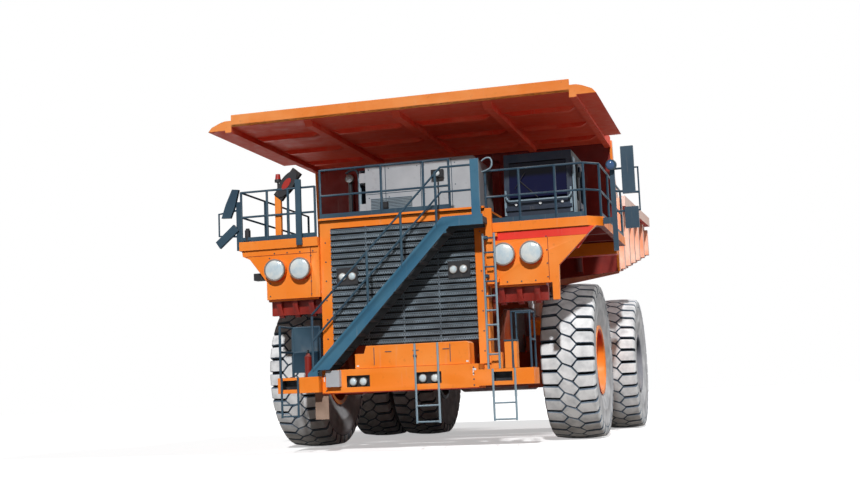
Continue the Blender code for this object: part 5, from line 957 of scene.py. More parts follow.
def dressed(name, finishes, choose=None, bevel=0.008, shift=(0, 0, 0)):
    """A copy of a solid that stands for it. choose(place, normal) gives a face's finish number."""
    shape = bmesh.new()
    shape.from_mesh(nodes[name].data)
    bmesh.ops.translate(shape, verts=shape.verts, vec=Vector(shift) - FRONT_AXLE)
    bmesh.ops.remove_doubles(shape, verts=shape.verts, dist=0.00005)
    bmesh.ops.dissolve_degenerate(shape, dist=0.0002, edges=shape.edges)
    bmesh.ops.recalc_face_normals(shape, faces=shape.faces)
    flat = [edge for edge in shape.edges if len(edge.link_faces) == 2 and joins_flat_faces(edge)]
    bmesh.ops.dissolve_edges(shape, edges=flat, use_verts=False)
    for face in shape.faces:
        face.material_index = choose(face.calc_center_median(), face.normal) if choose else 0
    return piece(f"{name}_dressed", shape, finishes, BODY_OF[name], bevel, [name])


def refinish(name, finish):
    """Gives a solid another finish. Its mesh is left as it is."""
    mesh = nodes[name].data
    if not mesh.materials:
        mesh.materials.append(finish)
    for index in range(len(mesh.materials)):
        mesh.materials[index] = finish


print("solids to dress:", len(nodes))

# %% [markdown]
# ## The front: fascias, bumper and radiator frame
# The fascia plates carry the headlamps. Behind each one hangs a shelf on three gussets, painted a
# deep red as painted shade. The bumper's lamp recesses and step pockets are painted black inside, as
# shade.

# %% Dress the front
LAMP_DRUM_REACH = 0.15        # of the headlamps' drums, before the fascia
FASCIA_Y = node_box("lamp_bracket_left")[0].y + LAMP_DRUM_REACH
FASCIA_DEEP = 0.102           # what lies further back is in the shade
BUMPER_Y, BUMPER_HALF = -3.80, 1.7
LAMP_RECESS = ((-1, -3.795, 1.3), (1.2, -3.69, 1.62))
STEP_POCKET = ((1.9, -4.03, 1.34), (2.52, -3.58, 1.56))
FLAP_TOP, FLAP_X = 1.27, -1.55
GREY_BOX_XS = (-1.6, -1.25)
FRAME_BACK_Y = -3.0


def within(place, corners):
    """True where a place lies in the box between two corners."""
    low, high = corners
    return all(low[axis] < place[axis] < high[axis] for axis in range(3))


def fascia_finish(place, normal):
    """0 the lit plate, 1 the shelf behind it, in painted shade."""
    return 1 if place.y > FASCIA_Y + FASCIA_DEEP else 0


def bumper_finish(place, normal):
    """0 paint, 1 recesses and pockets, black as painted shade, 2 walkway, 3 rubber flap, 4 grey box."""
    mirrored = (abs(place.x), place.y, place.z)
    if within(mirrored, LAMP_RECESS) or within(mirrored, STEP_POCKET):
        return 1
    if normal.z > FACES_UP and abs(place.x) > BUMPER_HALF:
        return 2
    if place.z < FLAP_TOP and place.y > BUMPER_Y + 0.04 and place.x < FLAP_X:
        return 3
    on_box = place.y < BUMPER_Y - 0.01 and GREY_BOX_XS[0] < place.x < GREY_BOX_XS[1]
    return 4 if on_box else 0


def behind_is_black(place, normal):
    """0 the front, 1 what faces back."""
    return 1 if normal.y > 0.5 or place.y > FRAME_BACK_Y else 0


tan_rubber = rubber("tan_flap_rubber", screen(128, 106, 92), screen(166, 142, 126), 0.3, 0.7)
for _, side_name in SIDES:
    dressed(f"lamp_bracket_{side_name}", [orange_enamel, red_enamel], fascia_finish)
dressed("front_bumper", [orange_enamel, black_enamel, walkway_plate, tan_rubber, grey_enamel],
        bumper_finish)
dressed("bumper_box", [orange_enamel], bevel=0.012)
dressed("radiator_frame", [orange_enamel, black_enamel], behind_is_black)
print("the front is dressed, fascias at", round(FASCIA_Y, 3))

# %% [markdown]
# ## Decks and stairs
# A deck is a plate on a grid of beams: tread plate on top, faded orange at its edge, and below it
# a painted shade, red under the side decks and black under the centre deck. On the stairs the two
# stringers are slate, the treads are dark steel and the rails are tube; the rear stringer and what
# lies under the stringers are painted as dark as the treads, as painted shade. The solids have all
# of these forms, so only the finish of each face has to be told, by its place.

# %% Dress the decks and the stairs
DECK_TOP = node_box("deck_left")[1].z
STAIR_FOOT, STAIR_TOP = Vector((-1.93, 0, 1.67)), Vector((1.12, 0, 4.78))
STRINGER_DEEP = 0.35
DECK_FRONT_Y, DECK_BACK_Y = -3.40, 0.85
DECK_IN_X, DECK_LEFT_X, DECK_RIGHT_X = 1.87, 4.34, -3.72
CUT_CORNER = 7.45             # X less Y, on the left deck's cut corner
CENTRE_DECK_LOW = 5.0
LAMP_CASE_LOW, LAMP_CASE_X = 5.53, -2.95
LANDING_X = 1.72
STRINGER_YS = (-3.989, -3.485)
NEAR = 0.02


def deck_finish(place, normal):
    """0 edges and post, 1 walkway, 2 the shade below, 3 lamp case."""
    if place.z > DECK_TOP + NEAR:
        return 3 if place.z > LAMP_CASE_LOW and place.x > LAMP_CASE_X else 0
    if normal.z > FACES_UP:
        return 1
    if normal.z < -FACES_UP:
        return 2
    edges = (place.y - DECK_FRONT_Y, place.y - DECK_BACK_Y, abs(place.x) - DECK_IN_X,
             place.x - DECK_LEFT_X, place.x - DECK_RIGHT_X, place.x - place.y - CUT_CORNER)
    return 0 if min(abs(gap) for gap in edges) < NEAR else 2


def centre_deck_finish(place, normal):
    """0 edges, 1 walkway, 2 what lies below, black as painted shade."""
    if normal.z > FACES_UP:
        return 1
    return 2 if place.z < CENTRE_DECK_LOW or normal.z < -FACES_UP else 0


def stringer_top(x):
    """Height of the stringers' upper edge at x."""
    share = (x - STAIR_FOOT.x) / (STAIR_TOP.x - STAIR_FOOT.x)
    return min(STAIR_FOOT.z + share * (STAIR_TOP.z - STAIR_FOOT.z), STAIR_TOP.z)


def stair_finish(place, normal):
    """0 stringers, 1 treads, and painted shade under the stringers and on the rear stringer, 2 rails, 3
    gate.
    """
    if place.x > LANDING_X and place.z > 4.78:
        return 3
    if place.z > stringer_top(place.x) + 0.015:
        return 2
    # The dark finish under the stringers and on the rear stringer is painted shade.
    under = place.z < stringer_top(place.x) - STRINGER_DEEP
    between = STRINGER_YS[0] < place.y < STRINGER_YS[1]
    rear_stringer_in_shade = place.y > -3.60 and place.x < 1.3
    return 1 if under or between or rear_stringer_in_shade else 0


black_lamp_case = enamel("black_lamp_case", screen(14, 14, 16), screen(30, 24, 24), SOOT_AND_SHADE,
                         0.1, 0.3, 0.0)
dressed("deck_left", [orange_enamel, walkway_plate, red_enamel], deck_finish)
dressed("deck_right", [orange_enamel, walkway_plate, red_enamel, black_lamp_case], deck_finish)
dressed("deck_centre", [orange_enamel, walkway_plate, black_enamel], centre_deck_finish)
dressed("front_stairs", [slate_enamel, step_plate, tube_enamel, pale_slate], stair_finish, 0.004)
print("decks at", round(DECK_TOP, 3), "m")

# %% [markdown]
# ## The load body
# Its canopy reaches over the cab. Seen from below it has lengthwise and crosswise stiffeners, and
# there it is painted a dark red, as painted shade. The wings at its sides end just behind the cab,
# and only the part between the side beams runs on to the front wall, which is dark red as painted
# shade too. The body's sides are pale pink where they face outward, and the flanks of their ribs
# are dusty orange.

# %% The canopy
CANOPY_FRONT, WING_BACK, WALL_TOP_Y, CANOPY_BACK = -3.476, 1.00, 2.26, 2.40
PLATE_LOW, PLATE_TOP, LIP_TOP = 7.27, 7.33, 7.547
BEAM_LOW, BEAM_TOP, WING_LOW, WING_TOP = 7.15, 7.42, 7.20, 7.39
LIP_HALF, BEAM_HALF, WING_HALF = 3.814, 3.97, 4.385
RIB_LOW, CROSS_RIB_LOW = 7.15, 7.174
RIB_ROOT = 7.28               # ribs end inside the plate
LONG_RIBS, LONG_RIB_HALF = (-2.03, 0.0, 2.03), 0.09
CROSS_RIBS, CROSS_RIB_HALF = (-2.10, -0.40, 1.20), 0.08
BAYS = ((-3.70, -2.25), (-1.80, -0.20), (0.20, 1.80), (2.25, 3.70))
to_plate = [(LIP_HALF, PLATE_LOW), (LIP_HALF, BEAM_LOW), (BEAM_HALF, BEAM_LOW)]
canopy_half = to_plate + [
    (BEAM_HALF, WING_LOW), (WING_HALF, WING_LOW), (WING_HALF - 0.085, 7.30),
    (WING_HALF - 0.295, WING_TOP), (BEAM_HALF, BEAM_TOP), (LIP_HALF, BEAM_TOP), (LIP_HALF, PLATE_TOP)]
rear_half = to_plate + [(BEAM_HALF, BEAM_TOP), (LIP_HALF, BEAM_TOP), (LIP_HALF, PLATE_TOP)]


def both_sides(half):
    """An outline and its mirror image as one."""
    return half + [(-x, z) for x, z in reversed(half)]


shape = bmesh.new()
plate(shape, both_sides(canopy_half), "Y", CANOPY_FRONT, WING_BACK)
plate(shape, both_sides(rear_half), "Y", WING_BACK - 0.001, WALL_TOP_Y)
block(shape, (-3.92, WALL_TOP_Y - 0.01, 7.272), (3.92, CANOPY_BACK, 7.329))
block(shape, (-LIP_HALF - 0.01, CANOPY_FRONT, PLATE_LOW),
      (LIP_HALF + 0.01, CANOPY_FRONT + 0.05, LIP_TOP))
for rib_x in LONG_RIBS:
    outline = [(CANOPY_FRONT + 0.10, RIB_ROOT), (CANOPY_FRONT + 0.22, RIB_LOW),
               (WALL_TOP_Y - 0.32, RIB_LOW), (WALL_TOP_Y - 0.20, RIB_ROOT)]
    plate(shape, outline, "X", rib_x - LONG_RIB_HALF, rib_x + LONG_RIB_HALF)
for rib_y in CROSS_RIBS:
    for left, right in BAYS:
        outline = [(left - 0.12, RIB_ROOT), (left + 0.10, CROSS_RIB_LOW),
                   (right - 0.10, CROSS_RIB_LOW), (right + 0.12, RIB_ROOT)]
        plate(shape, outline, "Y", rib_y - CROSS_RIB_HALF, rib_y + CROSS_RIB_HALF)
bmesh.ops.recalc_face_normals(shape, faces=shape.faces)
# Faces not lit from above or from the front get the second finish, a dark red that is painted shade.
for face in shape.faces:
    middle, way = face.calc_center_median(), face.normal
    at_front = way.y < -0.5 and middle.y < CANOPY_FRONT + 0.06
    lit = middle.z > PLATE_TOP + 0.01 or at_front or way.z > FACES_UP
    face.material_index = 0 if lit else 1
# A lit orange for the canopy's top and front, and a dark red copy of its paint for the rest, which is
# painted shade.
lip_orange = enamel("lip_orange_enamel", screen(232, 128, 48), screen(240, 150, 80), ORANGE_PAINTED_SHADE, 0.5,
                    0.55, 0.3)
canopy_shade_red = enamel("canopy_red_enamel", screen(236, 70, 42), screen(240, 112, 84), screen(246, 92, 64),
                    0.3, 0.5, 0.35)
piece("canopy_dressed", shape, [lip_orange, canopy_shade_red], "dump_body", 0.006,
      ["body_canopy"])
print("canopy", round(2 * WING_HALF, 2), "m wide")

# %% The body's walls and floor
WALL_EDGE_X = 3.92
SIDE_OUT_X, SIDE_EDGE_X, RIB_OUT_X, RIB_TOP_Z = 4.005, 4.01, 4.10, 5.9
SIDE_STEP_Y = 3.0


def wall_finish(place, normal):
    """0 the wall, dark red as painted shade, 1 its outer edges."""
    return 1 if abs(place.x) > WALL_EDGE_X else 0


def side_finish(place, normal):
    """0 plate and rail, 1 flanks of the ribs, 2 front edge."""
    out, sideways = abs(place.x), abs(normal.x)
    if place.z < RIB_TOP_Z:
        if out > SIDE_OUT_X and sideways < 0.9:
            return 1
        if out > RIB_OUT_X:
            return 0 if sideways > 0.9 else 1
    return 2 if place.y < SIDE_STEP_Y and out < SIDE_EDGE_X and sideways < 0.5 else 0


dressed("body_front_wall", [red_enamel, orange_enamel], wall_finish)
for _, side_name in SIDES:
    dressed(f"body_side_{side_name}", [body_side_pale, dusty_orange, orange_enamel], side_finish, 0.01)
dressed("body_floor", [dusty_orange])
print("body dressed")

# %% [markdown]
# ## Lamps
# Every lamp here is a turned part: a rim and a slightly domed lens. The headlamps sit in the drums
# on the fascias, and smaller ones stand in the bumper's recesses. The lens has fine flutes, which
# a wave texture gives as bump, and a pale colour that is a painted reflection.

# %% A fluted lens and a lamp
fluted_glass, flute_tree, flute_shader = new_finish("fluted_lens")
flute_place = flute_tree.nodes.new("ShaderNodeTexCoord")
flutes = flute_tree.nodes.new("ShaderNodeTexWave")
flutes.inputs["Scale"].default_value = 9.0
flutes.inputs["Distortion"].default_value = 0.4
join(flute_tree, flute_place.outputs["Object"], flutes.inputs["Vector"])
# The lens's pale base colour is a painted reflection of the bright reflector behind the glass.
lens_sheen = layer(flute_tree, spread(flute_tree, clouds(flute_tree, 5.0, 3.0), 0.35, 0.65),
             screen(186, 204, 214), screen(222, 226, 224))
join(flute_tree, lens_sheen, flute_shader.inputs["Base Color"])
flute_shader.inputs["Roughness"].default_value = 0.15
roughen(flute_tree, flute_shader, flutes.outputs["Fac"], 0.25, 0.006)
lamp_rim = metal("lamp_rim_steel", screen(132, 120, 112), 0.35, 0.6)
LAMP_FINISHES = [lamp_rim, fluted_glass]


def lamp(shape, centre, radius, depth, toward=(0, -1, 0), steps=32, first=0):
    """A round lamp whose glass faces toward, with its rim's front at the centre.
    Its rim has the finish number first, and its lens the next one."""
    place = Matrix.Translation(centre) @ Vector(toward).to_track_quat("Z", "Y").to_matrix().to_4x4()
    rim_profile = [(radius * 0.86, -depth), (radius, -depth), (radius, -0.012), (radius * 0.985, 0.0),
                   (radius * 0.90, 0.002), (radius * 0.86, -0.012)]
    turned(shape, rim_profile, place, steps, [first] * 6)
    lens = [(0, -depth * 0.8), (radius * 0.88, -depth * 0.8), (radius * 0.88, -0.012),
            (radius * 0.70, 0.004), (radius * 0.38, 0.014), (0, 0.018)]
    turned(shape, lens, place, steps, [first + 1] * 6)


HEADLAMP_XS, HEADLAMP_Z, HEADLAMP_R, HEADLAMP_OUT = (2.267, 2.849), 3.979, 0.243, 0.168
BUMPER_LAMPS = ((-1.02, 1.475), (-0.80, 1.47), (0.50, 1.485), (0.76, 1.48))
for side, side_name in SIDES:
    shape = bmesh.new()
    for x in HEADLAMP_XS:
        lamp(shape, (side * x, FASCIA_Y - HEADLAMP_OUT, HEADLAMP_Z), HEADLAMP_R, 0.05, steps=48)
    piece(f"headlamps_{side_name}", shape, LAMP_FINISHES, "chassis")

shape = bmesh.new()
for x, z in BUMPER_LAMPS:
    lamp(shape, (x, BUMPER_Y + 0.02, z), 0.085, 0.085)
piece("bumper_lamps", shape, LAMP_FINISHES, "chassis")
print("lamps:", 2 * len(HEADLAMP_XS) + len(BUMPER_LAMPS))

# %% [markdown]
# ## The grille
# Nineteen louvres with expanded metal between them. One louvre is made flat: a sloping face of
# lattice, and a paler lip along its top. The row tree then stacks them before a black back that is
# painted shade.
# Three thin bars and two small pairs of lamps stand on them.

# %% Louvres
GRILLE_LOW, GRILLE_HIGH = node_box("grille")[0].z, node_box("grille")[1].z
GRILLE_HALF, LOUVRES = 1.609, 19
LOUVRE = (GRILLE_HIGH - GRILLE_LOW) / LOUVRES
louvre_lip = enamel("louvre_lip_enamel", screen(88, 102, 112), screen(112, 124, 132), SOOT_AND_SHADE, 0.3, 0.5)
# A black back behind the louvres: painted shade for the dark behind the grille.
slot_black = enamel("slot_black", screen(8, 10, 14), screen(20, 24, 28), SOOT_AND_SHADE, 0.0, 0.7, 0.0)
shape = bmesh.new()
lip_mark = shape.faces.layers.bool.new("second_finish")
slope = [(-3.232, 0.012), (-3.286, 0.020), (-3.272, LOUVRE * 0.66), (-3.232, LOUVRE * 0.66)]
plate(shape, slope, "X", -GRILLE_HALF, GRILLE_HALF)
before = set(shape.faces)
lip = [(-3.240, LOUVRE * 0.665), (-3.289, LOUVRE * 0.665), (-3.289, LOUVRE * 0.78),
       (-3.240, LOUVRE * 0.80)]
plate(shape, lip, "X", -GRILLE_HALF, GRILLE_HALF)
for face in shape.faces:
    face[lip_mark] = face not in before
stack = repeated(ROW, shape, LOUVRES, slat_lattice, louvre_lip, (0, 0, LOUVRE))
shape = numbered(stack, {louvre_lip.name: 1}, 0)
bmesh.ops.translate(shape, verts=shape.verts, vec=(0, 0, GRILLE_LOW))
print("louvres:", LOUVRES, "each", round(LOUVRE, 3), "m high")

# %% What stands behind and before the louvres
GRILLE_BACK, LOUVRE_BACK = -3.2003, -3.234
BAR_XS, BAR_HALF = (-0.80, 0.0, 0.80), 0.012
LAMP_PLATES = ((-1.48, -1.00, 3.57, 3.94), (1.02, 1.50, 3.57, 3.92))
GRILLE_LAMP_XS, GRILLE_LAMP_Z = (-1.34, -1.12, 1.14, 1.36), 3.745
block(shape, (-GRILLE_HALF, LOUVRE_BACK, GRILLE_LOW), (GRILLE_HALF, GRILLE_BACK, GRILLE_HIGH), 2)
for x in BAR_XS:
    block(shape, (x - BAR_HALF, -3.2895, GRILLE_LOW), (x + BAR_HALF, -3.24, GRILLE_HIGH), 0)
for low_x, high_x, low_z, high_z in LAMP_PLATES:
    block(shape, (low_x, -3.32, low_z), (high_x, -3.25, high_z), 3)
for x in GRILLE_LAMP_XS:
    lamp(shape, (x, -3.352, GRILLE_LAMP_Z), 0.088, 0.045, steps=24, first=4)
piece("grille_dressed", shape,
      [slat_lattice, louvre_lip, slot_black, black_enamel, lamp_rim, fluted_glass], "chassis",
      stands_for=["grille"])
print("grille lamps:", len(GRILLE_LAMP_XS))

# %% [markdown]
# ## The control cabinet and the cab
# The cabinet is a row of tall boxes with a louvred cooler door. Its seams are thin dark strips and
# its corners carry bolts. A strip that stands 3 mm proud shows as a seam, and is far simpler than
# cutting a groove. The cab has one wide navy windscreen, guard bars before it, a wiper and a pale
# door post.

# %% Seams and bolts of the cabinet
CABINET_FRONT, CABINET_LOW, CABINET_HIGH = -2.00, 5.05, 6.43
SEAM_XS, SEAM_HALF, SEAM_OUT = (-0.70, 0.14, 0.86), 0.008, 0.003
CABINET_BOLT_XS = (-1.10, -0.78, -0.62, 0.06, 0.22, 0.78, 0.94, 1.30)
CABINET_BOLT_ZS = (5.14, 5.64, 5.80, 6.30)
seam_y, behind_y = CABINET_FRONT - SEAM_OUT, CABINET_FRONT + 0.01
dressed("control_cabinet", [grey_enamel], bevel=0.015)
shape = bmesh.new()
for x in SEAM_XS:
    block(shape, (x - SEAM_HALF, seam_y, CABINET_LOW + 0.03),
          (x + SEAM_HALF, behind_y, CABINET_HIGH - 0.03))
block(shape, (-1.17, seam_y, 5.72), (0.14, behind_y, 5.734))
for x in CABINET_BOLT_XS:
    for z in CABINET_BOLT_ZS:
        rod(shape, (x, behind_y, z), (x, CABINET_FRONT - 0.012, z), 0.013, 6)
piece("cabinet_seams", shape, [tube_enamel], "chassis")
print("cabinet bolts:", len(CABINET_BOLT_XS) * len(CABINET_BOLT_ZS))

# %% The cabinet's louvred door, its handle box and its work lamp
DOOR_LOUVRES, LOUVRE_STEP, LOWEST_LOUVRE = 11, 0.034, 5.26
WORK_LAMP_X, WORK_LAMP_Z = 0.55, 6.06
shape = bmesh.new()
plate(shape, [(CABINET_FRONT + 0.004, 0.0), (CABINET_FRONT - 0.022, 0.006),
              (CABINET_FRONT + 0.004, 0.028)], "X", -1.06, -0.08)
louvre_door = repeated(ROW, shape, DOOR_LOUVRES, pale_slate, step=(0, 0, LOUVRE_STEP))
louvre_door.transform(Matrix.Translation((0, 0, LOWEST_LOUVRE)))
mounted("cabinet_louvres", louvre_door, [pale_slate], "chassis")
shape = bmesh.new()
block(shape, (0.41, CABINET_FRONT - 0.13, 5.97), (0.69, CABINET_FRONT - 0.02, 6.15))
rod(shape, (WORK_LAMP_X, CABINET_FRONT - 0.05, 5.06), (WORK_LAMP_X, CABINET_FRONT - 0.05, 5.99),
    0.016, 10)
lamp(shape, (WORK_LAMP_X, CABINET_FRONT - 0.14, WORK_LAMP_Z), 0.075, 0.05, steps=24)
block(shape, (-0.82, CABINET_FRONT - 0.10, 5.30), (-0.64, seam_y, 5.52))
piece("cabinet_work_lamp", shape, [black_enamel, fluted_glass], "chassis", 0.006)
print("louvres on the cabinet's door:", DOOR_LOUVRES)

# %% The cab and the bars before it
CAB_FACE = -1.45
GUARD_Y = CAB_FACE - 0.10
GUARD_LOW_Z, GUARD_R = 5.37, 0.024


def cab_finish(place, normal):
    """0 the front, 1 sides and inside, 2 roof."""
    if normal.y < -0.5 and place.y < CAB_FACE + 0.11:
        return 0
    return 2 if normal.z > FACES_UP and place.z > 6.3 else 1


dressed("cab_shell", [cab_shade_slate, black_enamel, orange_enamel], cab_finish)
dressed("cab_door", [cab_shade_slate])
shape = bmesh.new()
for x in (1.93, 3.42):
    block(shape, (x, CAB_FACE - 0.012, 5.06), (x + 0.05, CAB_FACE + 0.02, 5.52))
bar = [(1.98, GUARD_Y, 5.62), (1.99, GUARD_Y, 5.46), (2.05, GUARD_Y, GUARD_LOW_Z),
       (3.40, GUARD_Y, GUARD_LOW_Z), (3.46, GUARD_Y, 5.44), (3.46, GUARD_Y, 5.60)]
for start, end in zip(bar, bar[1:]):
    rod(shape, start, end, GUARD_R, 10)
for x in (2.05, 3.40):
    rod(shape, (x, GUARD_Y, GUARD_LOW_Z), (x, CAB_FACE + 0.02, GUARD_LOW_Z), 0.022, 10)
block(shape, (1.96, CAB_FACE - 0.05, 5.16), (3.46, CAB_FACE + 0.01, 5.24), 1)
block(shape, (3.50, CAB_FACE - 0.02, 4.70), (3.53, CAB_FACE + 0.30, 6.30))
piece("cab_guard_bars", shape, [pale_slate, cab_shade_slate], "chassis", 0.004)
print("guard bars at", round(GUARD_Y, 3))

# %% Windscreen, wiper and marker lamps
SCREEN_LOW, SCREEN_HIGH = 5.46, 6.26
shape = bmesh.new()
plate(shape, [(CAB_FACE - 0.002, SCREEN_LOW), (CAB_FACE - 0.016, SCREEN_LOW),
              (CAB_FACE + 0.080, SCREEN_HIGH), (CAB_FACE + 0.094, SCREEN_HIGH)], "X", 2.052, 3.358)
piece("windscreen", shape, [navy_glass], "chassis", 0.003)
shape = bmesh.new()
rod(shape, (2.70, CAB_FACE - 0.03, 5.44), (2.30, CAB_FACE - 0.005, 5.84), 0.010, 8)
rod(shape, (2.18, CAB_FACE - 0.012, 5.66), (2.42, CAB_FACE - 0.001, 6.02), 0.008, 8)
for x in (2.20, 2.75, 3.25):
    rod(shape, (x, CAB_FACE - 0.01, 5.30), (x, CAB_FACE - 0.045, 5.30), 0.03, 12, 1)
piece("windscreen_wiper", shape, [black_enamel, white_enamel], "chassis")
print("cab dressed")

# %% [markdown]
# ## Mirrors and the lamps by the right post
# The driver's mirrors stand on tube brackets outside both decks. Their cases face forward and
# their glass faces the driver. On the right deck a post carries a red beacon, and beside it hangs
# a tilted lamp: a round drum that is stretched into an oval and turned.

# %% Mirrors
MIRROR_CASE_X, MIRROR_CASE_ZS = 4.7, (4.36, 6.07)
MIRROR_POST_X, MIRROR_LAMP_Z = 4.58, 5.68


def mirror_finish(place, normal):
    """0 case and brackets, 1 the glass on the case's back."""
    in_case = abs(place.x) > MIRROR_CASE_X and MIRROR_CASE_ZS[0] < place.z < MIRROR_CASE_ZS[1]
    return 1 if in_case and normal.y > 0.9 else 0


for _, side_name in SIDES:
    dressed(f"mirror_{side_name}", [tube_enamel, mirror_glass], mirror_finish, 0.006)
shape = bmesh.new()
rod(shape, (MIRROR_POST_X, -3.22, 5.70), (MIRROR_POST_X, -3.36, MIRROR_LAMP_Z), 0.11, 24)
lamp(shape, (MIRROR_POST_X, -3.37, MIRROR_LAMP_Z), 0.105, 0.05, (0.2, -1, -0.1), 24)
piece("mirror_lamp", shape, [tube_enamel, blue_glass], "chassis", 0.004)
print("mirrors ready")

# %% The beacon and the tilted lamp
TILTED_X, TILTED_Z, TILT, OVAL = -2.575, 5.89, 39, 2.2
DRUM_YS = (-3.355, -3.215)
BEACON_X, BEACON_Y = -2.81, -3.265
shape = bmesh.new()
stretched = Matrix.Rotation(math.radians(TILT), 4, "Y") @ Matrix.Scale(OVAL, 4, (0, 0, 1))
for forward, radius, finish in ((0.0, 0.155, 0), (0.014, 0.07, 1)):
    before = set(shape.verts)
    rod(shape, (TILTED_X, DRUM_YS[0] - forward, TILTED_Z), (TILTED_X, DRUM_YS[1] - forward, TILTED_Z),
        radius, 40, finish)
    bmesh.ops.transform(shape, matrix=stretched, verts=[v for v in shape.verts if v not in before],
                        space=Matrix.Translation((-TILTED_X, 0, -TILTED_Z)))
rod(shape, (BEACON_X, BEACON_Y, 5.60), (BEACON_X, BEACON_Y, 5.98), 0.02, 10)
rod(shape, (BEACON_X, BEACON_Y, 5.96), (BEACON_X, BEACON_Y, 6.02), 0.075, 20)
rod(shape, (BEACON_X, BEACON_Y, 6.02), (BEACON_X, BEACON_Y, 6.14), 0.065, 20, 1, 0.05)
red_glass = glazing("red_lamp_glass", screen(168, 34, 24), 0.12)
piece("deck_post_lamps", shape, [black_enamel, red_glass], "chassis")
print("beacon and tilted lamp ready")

# %% [markdown]
# ## What hangs on the bumper and the fascias
# Small things tell a machine from a model: bolt heads in rows, a seam where two plates meet, an
# extinguisher, bins, ladders whose rungs are worn pale. Bolts are one hexagon head repeated by the
# row tree, and the rest is plain blocks and rods, because from here nothing more shows.

# %% Rows of bolts
BOLT_SIZE, POST_FACE_Y = 0.016, -3.2601
BOLTS_UP = ((-2.05, 3.42), (-3.02, 3.42), (1.97, 3.46), (3.16, 3.46))
BOLTS_ALONG = ((-2.9, 4.36), (2.0, 3.40))
POST_BOLT_X, BUMPER_BOLT_X = 1.735, 1.60


def bolt_row(start, step, copies):
    """Hexagon heads that face forwards, from start on, each a step further."""
    head = bmesh.new()
    way = Vector((0, -1, 0))
    rod(head, (0, 0, 0), way * BOLT_SIZE * 0.8, BOLT_SIZE, 6)
    rod(head, way * BOLT_SIZE * 0.7, way * BOLT_SIZE * 1.1, BOLT_SIZE * 0.55, 6)
    made = repeated(ROW, head, copies, tube_enamel, step=step)
    made.transform(Matrix.Translation(start))
    return made


rows = [((x, FASCIA_Y + 0.001, z), (0, 0, 0.28), 4) for x, z in BOLTS_UP]
rows += [((x, FASCIA_Y + 0.001, z), (0.30, 0, 0), 4) for x, z in BOLTS_ALONG]
rows += [((side * POST_BOLT_X, POST_FACE_Y, 2.0), (0, 0, 0.42), 7) for side, _ in SIDES]
rows += [((x, BUMPER_Y + 0.001, 1.30), (0, 0, 0.12), 4) for x in (-BUMPER_BOLT_X, BUMPER_BOLT_X)]
shape = bmesh.new()
for start, step, copies in rows:
    shape.from_mesh(bolt_row(start, step, copies))
piece("front_bolts", shape, [tube_enamel], "chassis")
print("bolts:", sum(copies for _, _, copies in rows))

# %% Seams, a painted shadow strip and a side box on the fascias
SEAM_STRIPS = ((-2.06, 3.36, -2.045, 4.44), (2.06, 3.36, 2.072, 4.28), (3.18, 3.40, 3.192, 4.28),
               (-3.60, 4.32, -1.90, 4.332))
BAND = [(1.875, 4.285), (4.02, 4.285), (4.17, 4.452), (1.875, 4.452)]
BAND_TAIL = [(3.40, 4.02), (3.80, 4.02), (4.02, 4.29), (3.62, 4.29)]
shape = bmesh.new()
for low_x, low_z, high_x, high_z in SEAM_STRIPS:
    block(shape, (low_x, FASCIA_Y - 0.002, low_z), (high_x, FASCIA_Y + 0.01, high_z))
piece("fascia_seams", shape, [red_enamel], "chassis")
# A red strip under the left deck's edge, and another behind the fascia's slope: painted shadow of the
# deck's edge.
shape = bmesh.new()
plate(shape, BAND, "Y", FASCIA_Y - 0.006, FASCIA_Y + 0.02)
plate(shape, BAND_TAIL, "Y", FASCIA_Y + 0.098, FASCIA_Y + 0.14)
piece("deck_edge_band", shape, [deck_shadow_strip], "chassis", 0.004)
shape = bmesh.new()
block(shape, (-3.46, -3.24, 3.80), (-3.12, -3.02, 3.96))
rod(shape, (-3.14, -3.13, 3.88), (-3.05, -3.13, 3.88), 0.04, 12)
piece("fascia_side_box", shape, [black_enamel], "chassis", 0.012)
print("seams and bands ready")

# %% Corner marks and the fittings of the box over the bumper
BOX_FACE_Y = -3.76
INSIDE_BOX_Y = BOX_FACE_Y + 0.01
HINGE_XS, HINGE_LONG = (-0.30, 0.30, 0.95), 0.14
shape = bmesh.new()
for x in (-1.66, 1.58):
    block(shape, (x, BUMPER_Y - 0.004, 1.60), (x + 0.07, BUMPER_Y + 0.01, 1.64))
    block(shape, (x, BUMPER_Y - 0.004, 1.50), (x + 0.02, BUMPER_Y + 0.01, 1.61))
for x in (-0.93, 1.44):
    block(shape, (x, BOX_FACE_Y - 0.004, 1.78), (x + 0.05, INSIDE_BOX_Y, 1.81))
piece("corner_marks", shape, [white_enamel], "chassis")
shape = bmesh.new()
for x in (-0.55, 1.10):
    block(shape, (x, BOX_FACE_Y - 0.008, 1.80), (x + 0.015, INSIDE_BOX_Y, 2.17))
for x in HINGE_XS:
    block(shape, (x, BOX_FACE_Y - 0.015, 2.06), (x + HINGE_LONG, INSIDE_BOX_Y, 2.075))
rod(shape, (0.36, BOX_FACE_Y, 1.95), (0.36, BOX_FACE_Y - 0.08, 1.95), 0.035, 16)
piece("box_fittings", shape, [tube_enamel], "chassis", 0.003)
print("box fittings ready")

# %% Extinguisher and bins on the side platforms
BOTTLE_X, BOTTLE_Y = -2.16, -3.40
BIN_FLOOR_Z = 1.612
